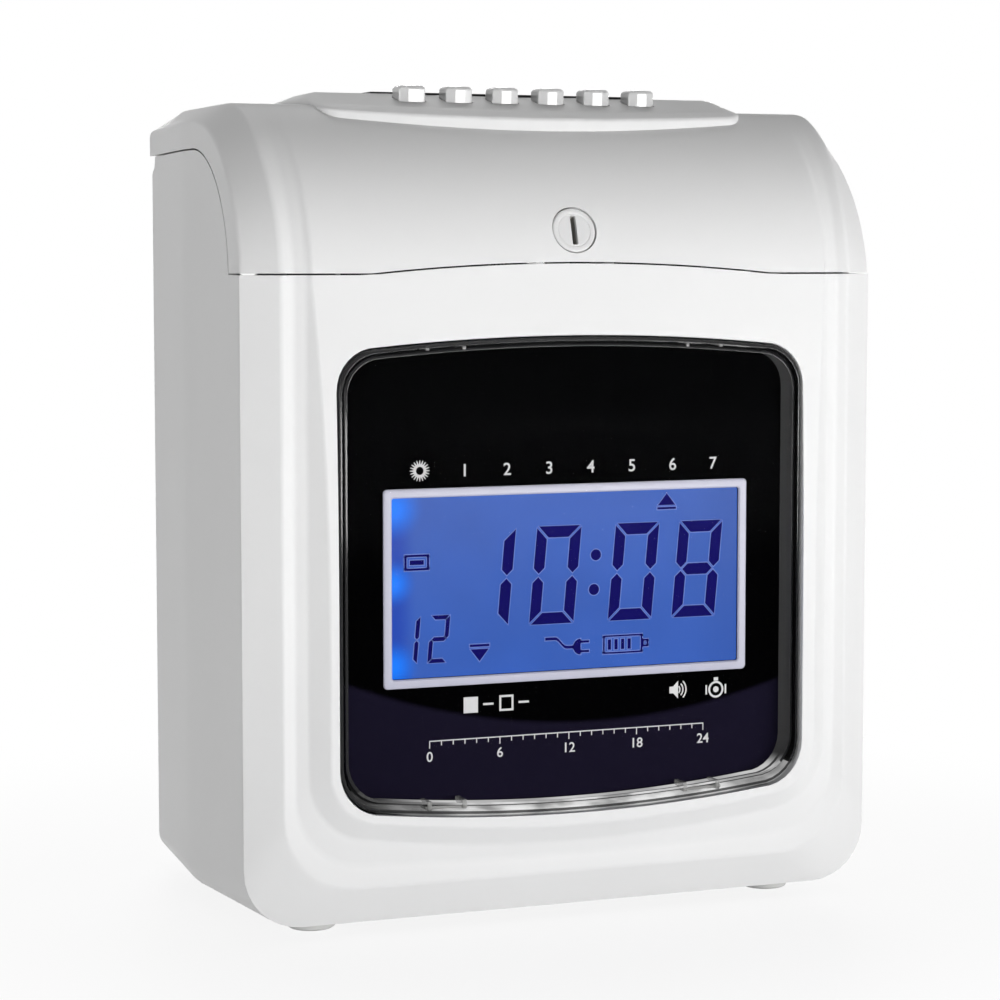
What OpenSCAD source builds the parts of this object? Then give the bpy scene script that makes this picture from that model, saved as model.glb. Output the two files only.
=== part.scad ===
// Desktop time clock: a punch-card time recorder with a curved, lockable lid, a raised
// console with six buttons and a card slot, and a clear window over a digital display.
// X runs across the front, Y to the back, Z up. The origin is on the surface the feet
// stand on, below the centre of the case. Most modules work in case coordinates: y = 0
// is the plane of the front edge of the case, z = 0 its underside.

/* [Case] */
// Width of the case over its front edges
case_w = 196; // [190:1:206]
// Depth from the front edge plane to the back
case_d = 119; // [117:1:130]
// Height of the centre of the lid's curve above the underside
shoulder_h = 180; // [178:1:190]
// Radius of the curve that the front edge follows over the lid
shoulder_r = 47.5; // [46.5:0.5:49]
// Wall thickness of the mouldings
wall = 2.4; // [2:0.1:2.8]
// Radius of the lower corners at the front edge
corner_r = 17; // [12:1:20]
// Radius of the lower corners at the back
back_corner_r = 6; // [4:1:10]
// Depth at which the side walls fold inwards
fold_y = 61; // [56:1:64]
// How far each side wall comes in from the fold to the back
back_taper = 6; // [4:0.5:7]
// Gap of the seam between the lid and the case
seam_gap = 0.5; // [0.4:0.1:0.8]
// Diameter of a rubber foot
foot_d = 15; // [12:1:18]
// Height of a rubber foot below the case
foot_h = 4; // [3:0.5:6]

/* [Front bezel] */
// Width of the bevel from the front edge to the ridge
bevel_w = 10.1; // [8:0.5:11]
// How far the ridge stands forward of the front edge
ridge_out = 6.3; // [5.5:0.1:6.6]
// Width of the cove inside the ridge
cove_w = 7.1; // [6:0.1:8]
// Depth of the cove
cove_d = 1; // [0.6:0.1:1.2]
// Width of the slope from the cove up to the surround
slope_w = 5.2; // [4:0.1:6]
// How far the surround stands forward of the front edge
surround_out = 10.7; // [10.2:0.1:11]
// Rise of the seam at the middle of the front
seam_rise = 3.15; // [2:0.05:4]

/* [Window] */
// Width of the clear cover
window_w = 145.4; // [144:0.2:146]
// Height of the clear cover's lowest point above the underside
window_low = 29.2; // [28.6:0.1:30]
// Height of the clear cover's highest point
window_top = 166.3; // [162:0.5:168]
// Depth of the clear cover's tray
tray_depth = 8.1; // [7.6:0.1:8.4]
// Thickness of the clear plastic
clear_t = 1.8; // [1.4:0.1:2.2]
// Width of the glass of the display
lcd_w = 108.8; // [104:0.2:112]
// Height of the glass of the display
lcd_h = 51.6; // [48:0.2:54]
// Height of the centre of the display above the underside
lcd_z = 94.8; // [90:0.2:98]
// Width of the pale frame round the display
lcd_frame_w = 2.6; // [2:0.1:3.2]

/* [Console] */
// Width of the console
console_w = 134; // [130:1:138]
// Height of the console's crest above the lid
crest_h = 4; // [3.6:0.1:4.4]
// Width of one button
button_w = 8.2; // [7:0.1:9]
// Depth of one button
button_d = 7; // [6:0.1:7.4]
// Distance from button to button
button_pitch = 14.6; // [13:0.1:15.6]
// Travel of a button
button_travel = 1.2; // [0.8:0.1:1.3]
// Width of the time card
card_w = 86; // [84:0.5:87]
// Width of the card path from front to back
card_gap = 4.8; // [4.6:0.1:5]

/* [Lock and hinge] */
// Height of the lock above the centre of the lid's curve
lock_up = 16.2; // [14:0.2:18]
// Diameter of the lock's face
lock_d = 13.2; // [12:0.2:14.4]
// Diameter of the lock's stem
lock_stem_d = 9; // [8:0.2:9.4]
// Radius of the hinge barrel
hinge_r = 4; // [3.6:0.1:4.2]
// Diameter of the hinge pins
pin_d = 3; // [2.4:0.1:3.4]

/* [Mechanism] */
// Diameter of the guide shafts
shaft_d = 5; // [4:0.1:6]
// Travel of the carriage to each side
carriage_travel = 32; // [28:0.5:33]
// Width of the carriage
carriage_w = 26; // [22:0.5:28]
// Radius of the feed tyres
tyre_r = 7; // [6:0.1:7.4]
// Radius of the pinch rollers
pinch_r = 6; // [5.8:0.1:6.6]
// Thickness of the printer frame's sheet
sheet = 1.5; // [1.2:0.1:2]
// Module of the feed gears
gear_m = 0.8; // [0.7:0.05:0.85]
// Teeth of the feed gear
gear_teeth = 36; // [30:2:38]
// Teeth of the feed pinion
pinion_teeth = 10; // [8:1:12]
// Diameter of the motors
motor_d = 24; // [20:0.5:25]
// Distance between the wall keyholes
keyhole_pitch = 120; // [80:5:140]
// Diameter of the wall keyholes' entries
keyhole_d = 8.4; // [7.6:0.2:9]

/* [Hidden] */
$fn = 48;
sheet_t = 0.01;
bezel_seam = 0.2;
far = 400;
half_w = case_w/2;
out_y = surround_out;
origin_y = (out_y - case_d)/2;

// The side view: the curve's centre, the seam and the hinge
arc_y = shoulder_r;
arc_z = shoulder_h;
seam_z = shoulder_h + 3.65;
skirt_h = 8;
seam_r = shoulder_r - 9;
seam_cy = arc_y + 2;
seam_cz = shoulder_h + shoulder_r - skirt_h - seam_r;
skirt_z = seam_cz + seam_r;
crown = 4.7;
edge_z = shoulder_h + shoulder_r;
top_z = edge_z + crown;
slope_y = case_d - 37;
rise_half = half_w - 36;
rise_r = (rise_half*rise_half + seam_rise*seam_rise)/(2*seam_rise);
fold_in = 1;
back_half = half_w - fold_in - back_taper;
fold_corner_r = 8;
hinge_y = case_d - hinge_r;
hinge_z = skirt_z;

// Rings of the bezel: half-width, lowest height, bow of the lower edge, corner radius
ridge_half = half_w - bevel_w;
cove_half = ridge_half - cove_w/2;
valley_half = ridge_half - cove_w;
lip_half = valley_half - slope_w;
ridge_low = 11;
valley_low = 21;
lip_low = window_low - 2.7;
low_bow = 4.5;
valley_out = ridge_out + 0.1;
surround_r = shoulder_r + 7.5;
ridge_r = shoulder_r + ridge_out;
valley_r = shoulder_r + valley_out;
top_slope_w = (surround_r - valley_r)*slope_w/(surround_out - valley_out);
face_r = 1500;
tangent_a = asin((seam_z - arc_z)/surround_r);
face_cy = arc_y - surround_r*cos(tangent_a) + face_r*cos(tangent_a);
face_cz = seam_z - face_r*sin(tangent_a);
face_bulge = surround_out + face_cy - face_r;

// The window, the panel and the display
window_half = window_w/2;
window_in = 1.4;
window_y = -out_y + window_in;
window_fit = 0.35;
tray_taper = 4.5;
panel_y = window_y + tray_depth;
panel_t = 1.6;
panel_half = window_half - tray_taper;
skirt_t = 2;
shelf_t = 2;
shelf_y = panel_y + panel_t;
lcd_t = 2.8;
lcd_y = panel_y + 0.2;
light_t = 4;
board_t = 1.6;
display_board_y = lcd_y + lcd_t + light_t;
board_half = window_half - 2;
board_low = lcd_z - 46;
board_high = lcd_z + 50;
board_post_x = board_half - 3.5;

// The console and its keys
console_half = console_w/2;
console_front = 15.6;
console_back = 84;
console_bow = 4.4;
console_corner = 7;
bevel_in = 3.5;
crest_y = 40;
crest_z = top_z + crest_h;
button_y = 32.3;
button_top = crest_z + 1.9;
button_fit = 0.25;
flange_z = crest_z - 6.8;
flange_t = 1;
stem_d = 3;
roof_z = crest_z - 5.6;
keypad_z = top_z - 11.2;
switch_h = 3.4;
stem_low = keypad_z + board_t + switch_h + button_travel + 0.1;
button_xs = [for (i = [0:5]) (i - 2.5)*button_pitch];
keys_half = 2.5*button_pitch + button_w/2 + 4;
slot_half = card_w/2 + 0.75;
card_y = arc_y + 0.5;
tube_t = 1.2;
surround_half = slot_half + 1.9;
surround_front = crest_y;
surround_back = crest_y + 16;
surround_plate = 1.6;
surround_top = crest_z + 0.45;
tube_low = keypad_z + 3;

// The lock: local z runs out of the lid's face, local y up its curve
lock_tilt = asin(lock_up/surround_r);
lock_deep = 14;
face_t = 1.4;
cam_t = 2;
cam_l = 12;
cam_w = 7;
nut_t = 2.4;
nut_seat = sqrt(pow(surround_r - wall, 2) - pow(lock_d/2 + 1.2, 2));
catch_gap = 0.5;

// The hinge
pin_fit = 0.05;
knuckle_x = 58.4;
knuckle_w = 15.2;
knuckle_gap = 0.4;
hinge_clear = 0.6;
pin_in = 10;

// The printer
frame_half = half_w - 34;
frame_front = 14;
frame_back = 84;
frame_foot = frame_back - 14;
plate_step_z = arc_z - 48;
frame_low = wall + 3.5;
frame_top = arc_z + 34;
guide_t = 1;
guide_front_y = card_y - card_gap/2 - guide_t;
guide_rear_y = card_y + card_gap/2;
guide_low = 44;
guide_top = keypad_z;
print_z = arc_z + 25.5;
roller_z = arc_z - 22;
card_t = 0.4;
feed_y = card_y + card_t/2 + tyre_r;
pinch_y = card_y - card_t/2 - pinch_r;
roller_x = 22;
roller_w = 12;
axle_d = 4;
run_fit = 0.05;
gear_w = 5;
gear_x = frame_half + sheet + 2;
motor_y = feed_y + gear_m*(gear_teeth + pinion_teeth)/2;
shaft_z = arc_z;
shaft_ys = [card_y - 23, card_y - 11];
pulley_x = frame_half - 14;
pulley_y = 26;
belt_in = 6;
pulley_r = belt_in - 0.6;
belt_t = 1.2;
belt_z = shaft_z - 15;
belt_w = 6;
tab_z = belt_z - 4.6;
tab_t = 1.5;
head_w = 18;
nose_y = guide_front_y - 0.7;
ribbon_z = print_z;
ribbon_h = 11;
cassette_low = print_z - 7.5;
cassette_h = 14;
cassette_half = frame_half - 3.5;
arm_w = 10;
cassette_front = frame_front + 0.5;
cassette_body = 8;
knob_x = cassette_half - 14.5;
knob_y = cassette_front + cassette_body/2;

// Boards and power in the case
main_board_y = case_d - 11;
main_mid = half_w - 82;
main_half = 55;
main_low = 66;
main_high = main_low + 102;
coil_x = -half_w + 59;
core_w = 42;
core_h = 36;
coil_w = 27.6;
cell_x = half_w - 78;
cell_l = 50;
buzzer_x = main_mid + 38;
screw_x = half_w - 17;
screw_zs = [24, 150];
screw_tube_r = 5;
screw_front = 20;
foot_x = half_w - 25;
foot_ys = [16.5, case_d - 19];
inlet_x = -half_w + 34;
inlet_z = 52;
vent_n = 9;
vent_pitch = 6;
keyhole_z = 186;
cell_r = 7.1;

module at_case() translate([0, origin_y, foot_h]) children();
// A drawing with x across and y up, raised towards the front from the plane y
module upright(y, h) translate([0, y, 0]) rotate([90, 0, 0]) linear_extrude(h) children();
// A side view with x to the back and y up, drawn out across the case
module across(half) translate([-half, 0, 0]) rotate([90, 0, 90]) linear_extrude(2*half) children();
module along_x(x, y, z, r, h) translate([x, y, z]) rotate([0, 90, 0]) cylinder(r = r, h = h);
module along_y(x, y, z, r, h) translate([x, y, z]) rotate([-90, 0, 0]) cylinder(r = r, h = h);
module block(x0, x1, y0, y1, z0, z1) translate([x0, y0, z0]) cube([x1 - x0, y1 - y0, z1 - z0]);

// A quarter of a circle, without its first point
function quarter(cx, cy, r, a, n = 6) =
    [for (k = [1:n]) [cx + r*cos(a + 90*k/n), cy + r*sin(a + 90*k/n)]];
// An edge from -w to w that bows by the square of its place
function bowed(w, y, bow, n = 6) = [for (i = [-n:n]) [w*i/n, y + bow*i*i/n/n]];
// A ring of the front: bowed lower edge, round lower corners, sides up to z1
function front_ring(w, z0, bow, r, z1) =
    concat(bowed(w - r, z0, bow), quarter(w - r, z0 + bow + r, r, -90), [[w, z1], [-w, z1]],
        [[-w, z0 + bow + r]], quarter(-w + r, z0 + bow + r, r, 180));
// The outline of the window, with both edges bowed and all corners round
function window_ring(inset) =
    let (w = window_half - inset, r0 = 13 - inset/2, r1 = 12 - inset/2, b0 = 3.4, b1 = 2.8,
        z0 = window_low + inset, z1 = window_top - inset)
    concat(bowed(w - r0, z0, b0), quarter(w - r0, z0 + b0 + r0, r0, -90),
        [[w, z1 - b1 - r1]], quarter(w - r1, z1 - b1 - r1, r1, 0),
        [for (p = bowed(w - r1, z1, -b1)) [-p[0], p[1]]],
        quarter(-w + r1, z1 - b1 - r1, r1, 90), [[-w, z0 + b0 + r0]],
        quarter(-w + r0, z0 + b0 + r0, r0, 180));

// The space of the case in side view, grown by g: below the seam and inside its curve
module seam_profile(g) {
    translate([-far, -far]) square([far + seam_cy, far + seam_z + g]);
    translate([seam_cy, seam_cz]) circle(r = seam_r + g, $fn = 96);
    translate([seam_cy, -far]) square([far, far + skirt_z + g]);
}
// The arch by which the seam rises over the middle of the front
module seam_arch(g) intersection() {
    along_y(0, -30, seam_z + seam_rise - rise_r, rise_r + g, 40, $fn = 720);
    block(-rise_half, rise_half, -30, 10, seam_z - 5, seam_z + 10);
}

// The body of the case, grown inwards by d: front edge, fold and back as three sheets
module case_body(d, y0) hull() {
    upright(y0, sheet_t)
        polygon(front_ring(half_w - d, d, 0, corner_r - d, top_z));
    upright(fold_y, sheet_t)
        polygon(front_ring(half_w - fold_in - d, d, 0, fold_corner_r - d/2, top_z));
    upright(case_d - d, sheet_t)
        polygon(front_ring(back_half - d, d, 0, back_corner_r - d/2, top_z));
}

module keyhole(x) {
    along_y(x, case_d - wall - 1, keyhole_z, keyhole_d/2, wall + 2);
    along_y(x, case_d - wall - 1, keyhole_z + 7, 2.25, wall + 2);
    block(x - 2.25, x + 2.25, case_d - wall - 1, case_d + 1, keyhole_z, keyhole_z + 7);
}

module rear_case() color("gainsboro") at_case() difference() {
    union() {
        difference() {
            case_body(0, bezel_seam + sheet_t);
            case_body(wall, -1);
            difference() {
                across(far) translate([-far/2, 150]) square([2*far, far]);
                across(far + 1) seam_profile(-seam_gap/2);
            }
            block(-half_w, half_w, hinge_y, case_d + 1, hinge_z - hinge_r - 1.4, far);
            along_x(-half_w, hinge_y, hinge_z, hinge_r + hinge_clear, case_w);
        }
        for (s = [-1, 1]) {
            along_x(s*(knuckle_x + knuckle_w/2) - knuckle_w/2, hinge_y, hinge_z, hinge_r,
                knuckle_w);
            block(s*(knuckle_x + knuckle_w/2) - knuckle_w/2,
                s*(knuckle_x + knuckle_w/2) + knuckle_w/2, case_d - wall, case_d,
                hinge_z - hinge_r - 2, hinge_z);
            for (z = screw_zs)
                along_y(s*screw_x, screw_front + 0.2, z, screw_tube_r,
                    case_d - wall/2 - screw_front);
        }
        for (s = [-1, 1], z = [main_low + 8, main_high - 8])
            along_y(main_board_x(s), main_board_y + board_t, z, 3.5,
                case_d - wall/2 - main_board_y - board_t);
        for (s = [-1, 1], y = [frame_front + 12, frame_foot - 8])
            translate([s*(frame_half - 8), y, wall/2]) cylinder(r = 4, h = frame_low - wall/2);
    }
    for (s = [-1, 1]) {
        along_x(s*(knuckle_x + knuckle_w/2) - knuckle_w, hinge_y, hinge_z, pin_d/2,
            2*knuckle_w);
        for (z = screw_zs) {
            along_y(s*screw_x, screw_front + 4, z, screw_tube_r - 1.4, case_d);
            along_y(s*screw_x, screw_front - 1, z, 1.7, 8);
        }
        keyhole(s*keyhole_pitch/2);
    }
    for (i = [0:vent_n - 1])
        block(26 + i*vent_pitch, 29 + i*vent_pitch, case_d - wall - 1, case_d + 1, 22, 44);
    block(inlet_x - 10.4, inlet_x + 10.4, case_d - wall - 1, case_d + 1, inlet_z - 6.4,
        inlet_z + 6.4);
}
function main_board_x(s) = main_mid + s*(main_half - 5);

// The side view of the surround's face, set back by d: upright below, bowed above
module face_profile(d) {
    steps = 10;
    polygon(concat([[30, -1], [-surround_out + d, -1]],
        [for (k = [0:steps]) let (a = tangent_a*k/steps)
            [face_cy - face_r*cos(a) + d, face_cz + face_r*sin(a)]],
        [[arc_y - surround_r*cos(tangent_a) + d, seam_z + 12], [30, seam_z + 12]]));
}

// The front of the bezel: bevel up to the ridge, cove, slope and the bowed surround
module bezel_front() difference() {
    union() {
        hull() {
            upright(0, sheet_t) polygon(front_ring(half_w, 0, 0, corner_r, seam_z + 12));
            upright(-ridge_out + sheet_t, sheet_t)
                polygon(front_ring(ridge_half, ridge_low, 0, 21, seam_z + 12));
        }
        intersection() {
            hull() {
                upright(-ridge_out + cove_d, sheet_t)
                    polygon(front_ring(valley_half + 1.2, valley_low - 1.2, low_bow, 19, seam_z + 12));
                upright(-surround_out + sheet_t, sheet_t)
                    polygon(front_ring(lip_half, lip_low, low_bow, 15, seam_z + 12));
            }
            across(half_w) face_profile(0);
        }
    }
    difference() {
        hull() {
            upright(-ridge_out - sheet_t, sheet_t)
                polygon(front_ring(ridge_half, ridge_low, 0, 21, seam_z + 13));
            upright(-ridge_out + cove_d, sheet_t)
                polygon(front_ring(cove_half, (ridge_low + valley_low)/2, 1.4, 20, seam_z + 13));
        }
        hull() {
            upright(-ridge_out - 5, sheet_t)
                polygon(front_ring(valley_half - 5, valley_low + 5, low_bow, 15, seam_z + 14));
            upright(-ridge_out + cove_d + sheet_t, sheet_t)
                polygon(front_ring(cove_half, (ridge_low + valley_low)/2, 1.4, 20, seam_z + 14));
        }
    }
}

module front_bezel() color("whitesmoke") at_case() {
    difference() {
        union() {
            difference() {
                bezel_front();
                hull() {
                    upright(1, sheet_t)
                        polygon(front_ring(half_w - wall, wall, 0, corner_r - wall, seam_z - 5));
                    upright(-ridge_out + cove_d + 1.6, sheet_t)
                        polygon(front_ring(ridge_half - 1.6, ridge_low + 2, 0, 18, seam_z - 5));
                }
                intersection() {
                    upright(1, 20) polygon(front_ring(lip_half + 1, lip_low, low_bow, 15,
                        seam_z - 5));
                    across(half_w) face_profile(wall);
                }
            }
            upright(shelf_y + shelf_t, shelf_y + shelf_t - window_y)
                polygon(window_ring(-window_fit - skirt_t));
            for (s = [-1, 1], z = screw_zs)
                along_y(s*screw_x, -ridge_out + 1.5, z, 4, screw_front + ridge_out - 1.5);
            for (s = [-1, 1], z = [board_low + 6, board_high - 6])
                along_y(s*board_post_x, shelf_y + shelf_t/2, z, 2.8,
                    display_board_y - shelf_y - shelf_t/2);
            lock_catch();
        }
        upright(shelf_y, far) polygon(window_ring(-window_fit));
        upright(shelf_y + shelf_t + 1, far) polygon(window_ring(tray_taper + 2.2));
        for (s = [-1, 1], z = screw_zs)
            along_y(s*screw_x, 6, z, 1.3, screw_front);
        difference() {
            block(-half_w - 1, half_w + 1, -30, 40, seam_z - seam_gap/2, far);
            seam_arch(-seam_gap/2);
            lock_catch();
        }
    }
}

// The hooked post that holds the lock's cam, on a ledge behind the bezel's top edge
module lock_catch() {
    hook_x = cam_l + 1.2;
    hook_z = arc_z + lock_up - lock_deep*sin(lock_tilt) + cam_w/2 + catch_gap + 0.7;
    block(-40, 40, -surround_out + wall + 1.6, 5, seam_z - 7, seam_z - 5);
    block(hook_x, hook_x + 3, 3.5, 10.5, seam_z - 7, hook_z + 2.4);
    block(hook_x - 4.4, hook_x + 3, 3.5, 10.5, hook_z, hook_z + 2.4);
}

// A shallow tray of clear plastic with a rolled front edge
module tray(d) {
    hull() {
        upright(window_y + 1.5 + d, sheet_t) polygon(window_ring(d));
        upright(window_y + sheet_t + d, sheet_t) polygon(window_ring(1.4 + d));
    }
    hull() {
        upright(window_y + 1.5 + sheet_t + d, sheet_t) polygon(window_ring(d));
        upright(panel_y + d, sheet_t) polygon(window_ring(tray_taper - clear_t + d));
    }
}
module window_cover() color("lightcyan", 0.5) at_case() {
    difference() {
        tray(0);
        tray(clear_t);
        upright(panel_y + 3, 3) polygon(window_ring(tray_taper));
    }
    for (s = [-1, 1])
        for (z = [window_low + 2.2, window_top - 3.8])
            block(s*40 - 6.5, s*40 + 6.5, window_y + clear_t - 0.2, window_y + tray_depth - 2.4, z,
                z + 1.6);
}

module display_panel() color("black") at_case() difference() {
    upright(shelf_y, panel_t) polygon(window_ring(0.4));
    block(-lcd_w/2, lcd_w/2, -20, 20, lcd_z - lcd_h/2, lcd_z + lcd_h/2);
}
module lcd_frame() color("lavender") at_case() difference() {
    block(-lcd_w/2 - lcd_frame_w, lcd_w/2 + lcd_frame_w, panel_y - 0.8, panel_y,
        lcd_z - lcd_h/2 - lcd_frame_w, lcd_z + lcd_h/2 + lcd_frame_w);
    block(-lcd_w/2, lcd_w/2, -20, 20, lcd_z - lcd_h/2, lcd_z + lcd_h/2);
}
module lcd_glass() color("royalblue") at_case()
    block(-lcd_w/2 + 0.1, lcd_w/2 - 0.1, lcd_y, lcd_y + lcd_t, lcd_z - lcd_h/2 + 0.1,
        lcd_z + lcd_h/2 - 0.1);
module backlight() color("white") at_case()
    block(-lcd_w/2 + 2, lcd_w/2 - 2, lcd_y + lcd_t, display_board_y, lcd_z - lcd_h/2 + 2,
        lcd_z + lcd_h/2 - 2);
module display_board() color("darkgreen") at_case()
    block(-board_half, board_half, display_board_y, display_board_y + board_t, board_low,
        board_high);

// The lid's section at right angles to its curve: radius against half-width, set in by d
function lid_section(d) = let (n = 6)
    concat([[half_w - d, shoulder_r - d], [ridge_half - 0.4*d, ridge_r - d]],
    [for (k = [1:n - 1]) [ridge_half - 0.4*d - cove_w*k/n, ridge_r - d - 4*cove_d*k*(n - k)/n/n]],
    [[valley_half - 0.4*d, valley_r - d], [valley_half - top_slope_w - 0.4*d, surround_r - d]]);
function spun(points) = concat([for (p = points) [p[1], p[0]]],
    [for (i = [len(points) - 1:-1:0]) [points[i][1], -points[i][0]]],
    [[0, -points[0][0]], [0, points[0][0]]]);
function roof_sheet(w, z_edge, z_top, low) = let (flat = (z_top - z_edge)*1.45)
    [[-w, low], [-w, z_edge], [-w + flat, z_top], [w - flat, z_top], [w, z_edge], [w, low]];
function side_w(y) = y < fold_y ? half_w - fold_in*y/fold_y
    : half_w - fold_in - back_taper*(y - fold_y)/(case_d - fold_y);

function lid_top(y) = min(top_z, arc_z + sqrt(surround_r*surround_r - pow(arc_y - y, 2)));

module lid_solid(d) {
    back = case_d - d;
    intersection() {
        translate([0, arc_y, arc_z]) rotate([0, 90, 0]) rotate([0, 0, 180])
            rotate_extrude(angle = 105, $fn = 96) polygon(spun(lid_section(d)));
        translate([0, 0, arc_z - far]) linear_extrude(far + top_z - arc_z - d)
            polygon([[-half_w + d, -30], [half_w - d, -30], [half_w - d, 0],
                [side_w(arc_y) - d, arc_y], [-side_w(arc_y) + d, arc_y], [-half_w + d, 0]]);
    }
    hull() {
        upright(arc_y + sheet_t, sheet_t) polygon(roof_sheet(side_w(arc_y) - d,
            edge_z + 0.5 - d, top_z - d, skirt_z - 20));
        upright(fold_y, sheet_t) polygon(roof_sheet(side_w(fold_y) - d, edge_z - d, top_z - d,
            skirt_z - 20));
        upright(slope_y, sheet_t) polygon(roof_sheet(side_w(slope_y) - d, edge_z - d, top_z - d,
            skirt_z - 20));
        upright(back, sheet_t) polygon(roof_sheet(side_w(case_d) - d, edge_z - 0.2 - d,
            edge_z + 0.4 - d, skirt_z - 20));
    }
}

module lid_cover() color("gainsboro") at_case() difference() {
    union() {
        difference() {
            lid_solid(0);
            lid_solid(wall);
            across(far) seam_profile(seam_gap/2);
            seam_arch(seam_gap/2);
            for (s = [-1, 1])
                block(s*(knuckle_x + knuckle_w/2) - knuckle_w/2 - knuckle_gap,
                    s*(knuckle_x + knuckle_w/2) + knuckle_w/2 + knuckle_gap, hinge_y - hinge_r,
                    case_d + 1, hinge_z - 10, hinge_z + hinge_r + 1.4);
        }
        along_x(-knuckle_x + knuckle_gap, hinge_y, hinge_z, hinge_r, 2*(knuckle_x - knuckle_gap));
        block(-knuckle_x + knuckle_gap, knuckle_x - knuckle_gap, case_d - wall, case_d,
            hinge_z, hinge_z + 2);
        for (s = [-1, 1]) {
            x0 = s*(knuckle_x + knuckle_w + knuckle_gap + back_half - 1)/2;
            l0 = back_half - 1 - knuckle_x - knuckle_w - knuckle_gap;
            along_x(x0 - l0/2, hinge_y, hinge_z, hinge_r, l0);
            block(x0 - l0/2, x0 + l0/2, case_d - wall, case_d, hinge_z, hinge_z + 2);
            for (y = [button_y - 8.3, crest_y - 0.2])
                translate([s*(keys_half + 4), y, keypad_z + board_t])
                    cylinder(r = 1.8, h = lid_top(y) - wall/2 - keypad_z - board_t);
        }
    }
    for (s = [-1, 1])
        along_x(s*(knuckle_x + knuckle_w/2) - knuckle_w/2 - pin_in, hinge_y, hinge_z,
            pin_d/2 + pin_fit, knuckle_w + 2*pin_in);
    lock_place() translate([0, 0, surround_r - 6]) cylinder(r = lock_d/2 + 0.15, h = 10);
    block(-keys_half, keys_half, button_y - button_d/2 - 1.6, crest_y - 0.8, keypad_z + board_t + 0.5, far);
    block(-slot_half - tube_t - 0.2, slot_half + tube_t + 0.2, card_y - card_gap/2 - tube_t - 0.2,
        card_y + card_gap/2 + tube_t + 0.2, keypad_z, far);
}

// The console is lofted through three rings: its foot, the top of its wall and its top edge
function console_front_y(x) = console_front + console_bow*pow(x/(console_half - console_corner), 2);
function console_half_ring(d) = let (w = console_half - d, r = console_corner - d/2, n = 8,
        yf = console_front_y(w - r) + d, yb = console_back - d)
    concat([for (i = [0:n]) let (x = (w - r)*i/n) [x, console_front_y(x) + d]],
        quarter(w - r, yf + r, r, -90, 5),
        [for (y = [crest_y - 8, crest_y - 2, crest_y, crest_y + 4, crest_y + 16]) [w, y]],
        [[w, yb - r]], quarter(w - r, yb - r, r, 0, 5));
function wall_top(y) = top_z + lookup(y, [[console_front, -3.8], [crest_y - 18, -1.4],
    [crest_y - 2, 1.8], [crest_y + 16, 1.8], [console_back, 0.8]]);
function deck_top(y) = crest_z + lookup(y, [[console_front + bevel_in, -5.4], [crest_y, 0],
    [crest_y + 16, -0.2], [console_back - bevel_in, -1.9]]);
module console_body() {
    half = [for (d = [0, bevel_in]) console_half_ring(d)];
    n = len(half[0]);
    m = 2*n - 1;
    full = [for (h = half) concat(h, [for (i = [n - 1:-1:1]) [-h[i][0], h[i][1]]])];
    points = concat([for (p = full[0]) [p[0], p[1], top_z - 14]],
        [for (p = full[0]) [p[0], p[1], wall_top(p[1])]],
        [for (p = full[1]) [p[0], p[1], deck_top(p[1])]]);
    wall_faces = [for (i = [0:m - 1]) let (j = (i + 1)%m) [i, m + i, m + j, j]];
    bevel_faces = [for (i = [0:m - 1], k = [0, 1]) let (j = (i + 1)%m)
        k == 0 ? [m + i, 2*m + i, 2*m + j] : [m + i, 2*m + j, m + j]];
    deck = [for (i = [0:n - 2]) let (a = 2*m + i, b = a + 1, c = 3*m - i - 1, d = c + 1)
        i == 0 ? [a, c, b] : [d, c, b, a]];
    polyhedron(points, concat(wall_faces, bevel_faces, deck, [[for (i = [0:m - 1]) i]]),
        convexity = 4);
}
module console() color("whitesmoke") at_case() difference() {
    console_body();
    lid_solid(0);
    for (x = button_xs)
        block(x - button_w/2 - button_fit, x + button_w/2 + button_fit,
            button_y - button_d/2 - button_fit, button_y + button_d/2 + button_fit, 0, far);
    block(-keys_half, keys_half, button_y - button_d/2 - 1.6, crest_y - 0.8, 0, roof_z);
    block(-slot_half - tube_t - 0.15, slot_half + tube_t + 0.15, card_y - card_gap/2 - tube_t - 0.15,
        card_y + card_gap/2 + tube_t + 0.15, 0, far);
    block(-surround_half - 0.15, surround_half + 0.15, surround_front, surround_back + 0.15,
        surround_top - surround_plate, far);
}

module card_slot_surround() color("dimgray") at_case() difference() {
    union() {
        block(-surround_half, surround_half, surround_front + 0.1, surround_back,
            surround_top - surround_plate, surround_top);
        block(-slot_half - tube_t, slot_half + tube_t, card_y - card_gap/2 - tube_t,
            card_y + card_gap/2 + tube_t, tube_low, surround_top - 0.5);
    }
    block(-slot_half, slot_half, card_y - card_gap/2, card_y + card_gap/2, 0, far);
    across(slot_half) polygon([[card_y - card_gap/2 - 1.6, surround_top + 0.1],
        [card_y + card_gap/2 + 1.6, surround_top + 0.1], [card_y + card_gap/2, surround_top - 4],
        [card_y - card_gap/2, surround_top - 4]]);
}

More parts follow.
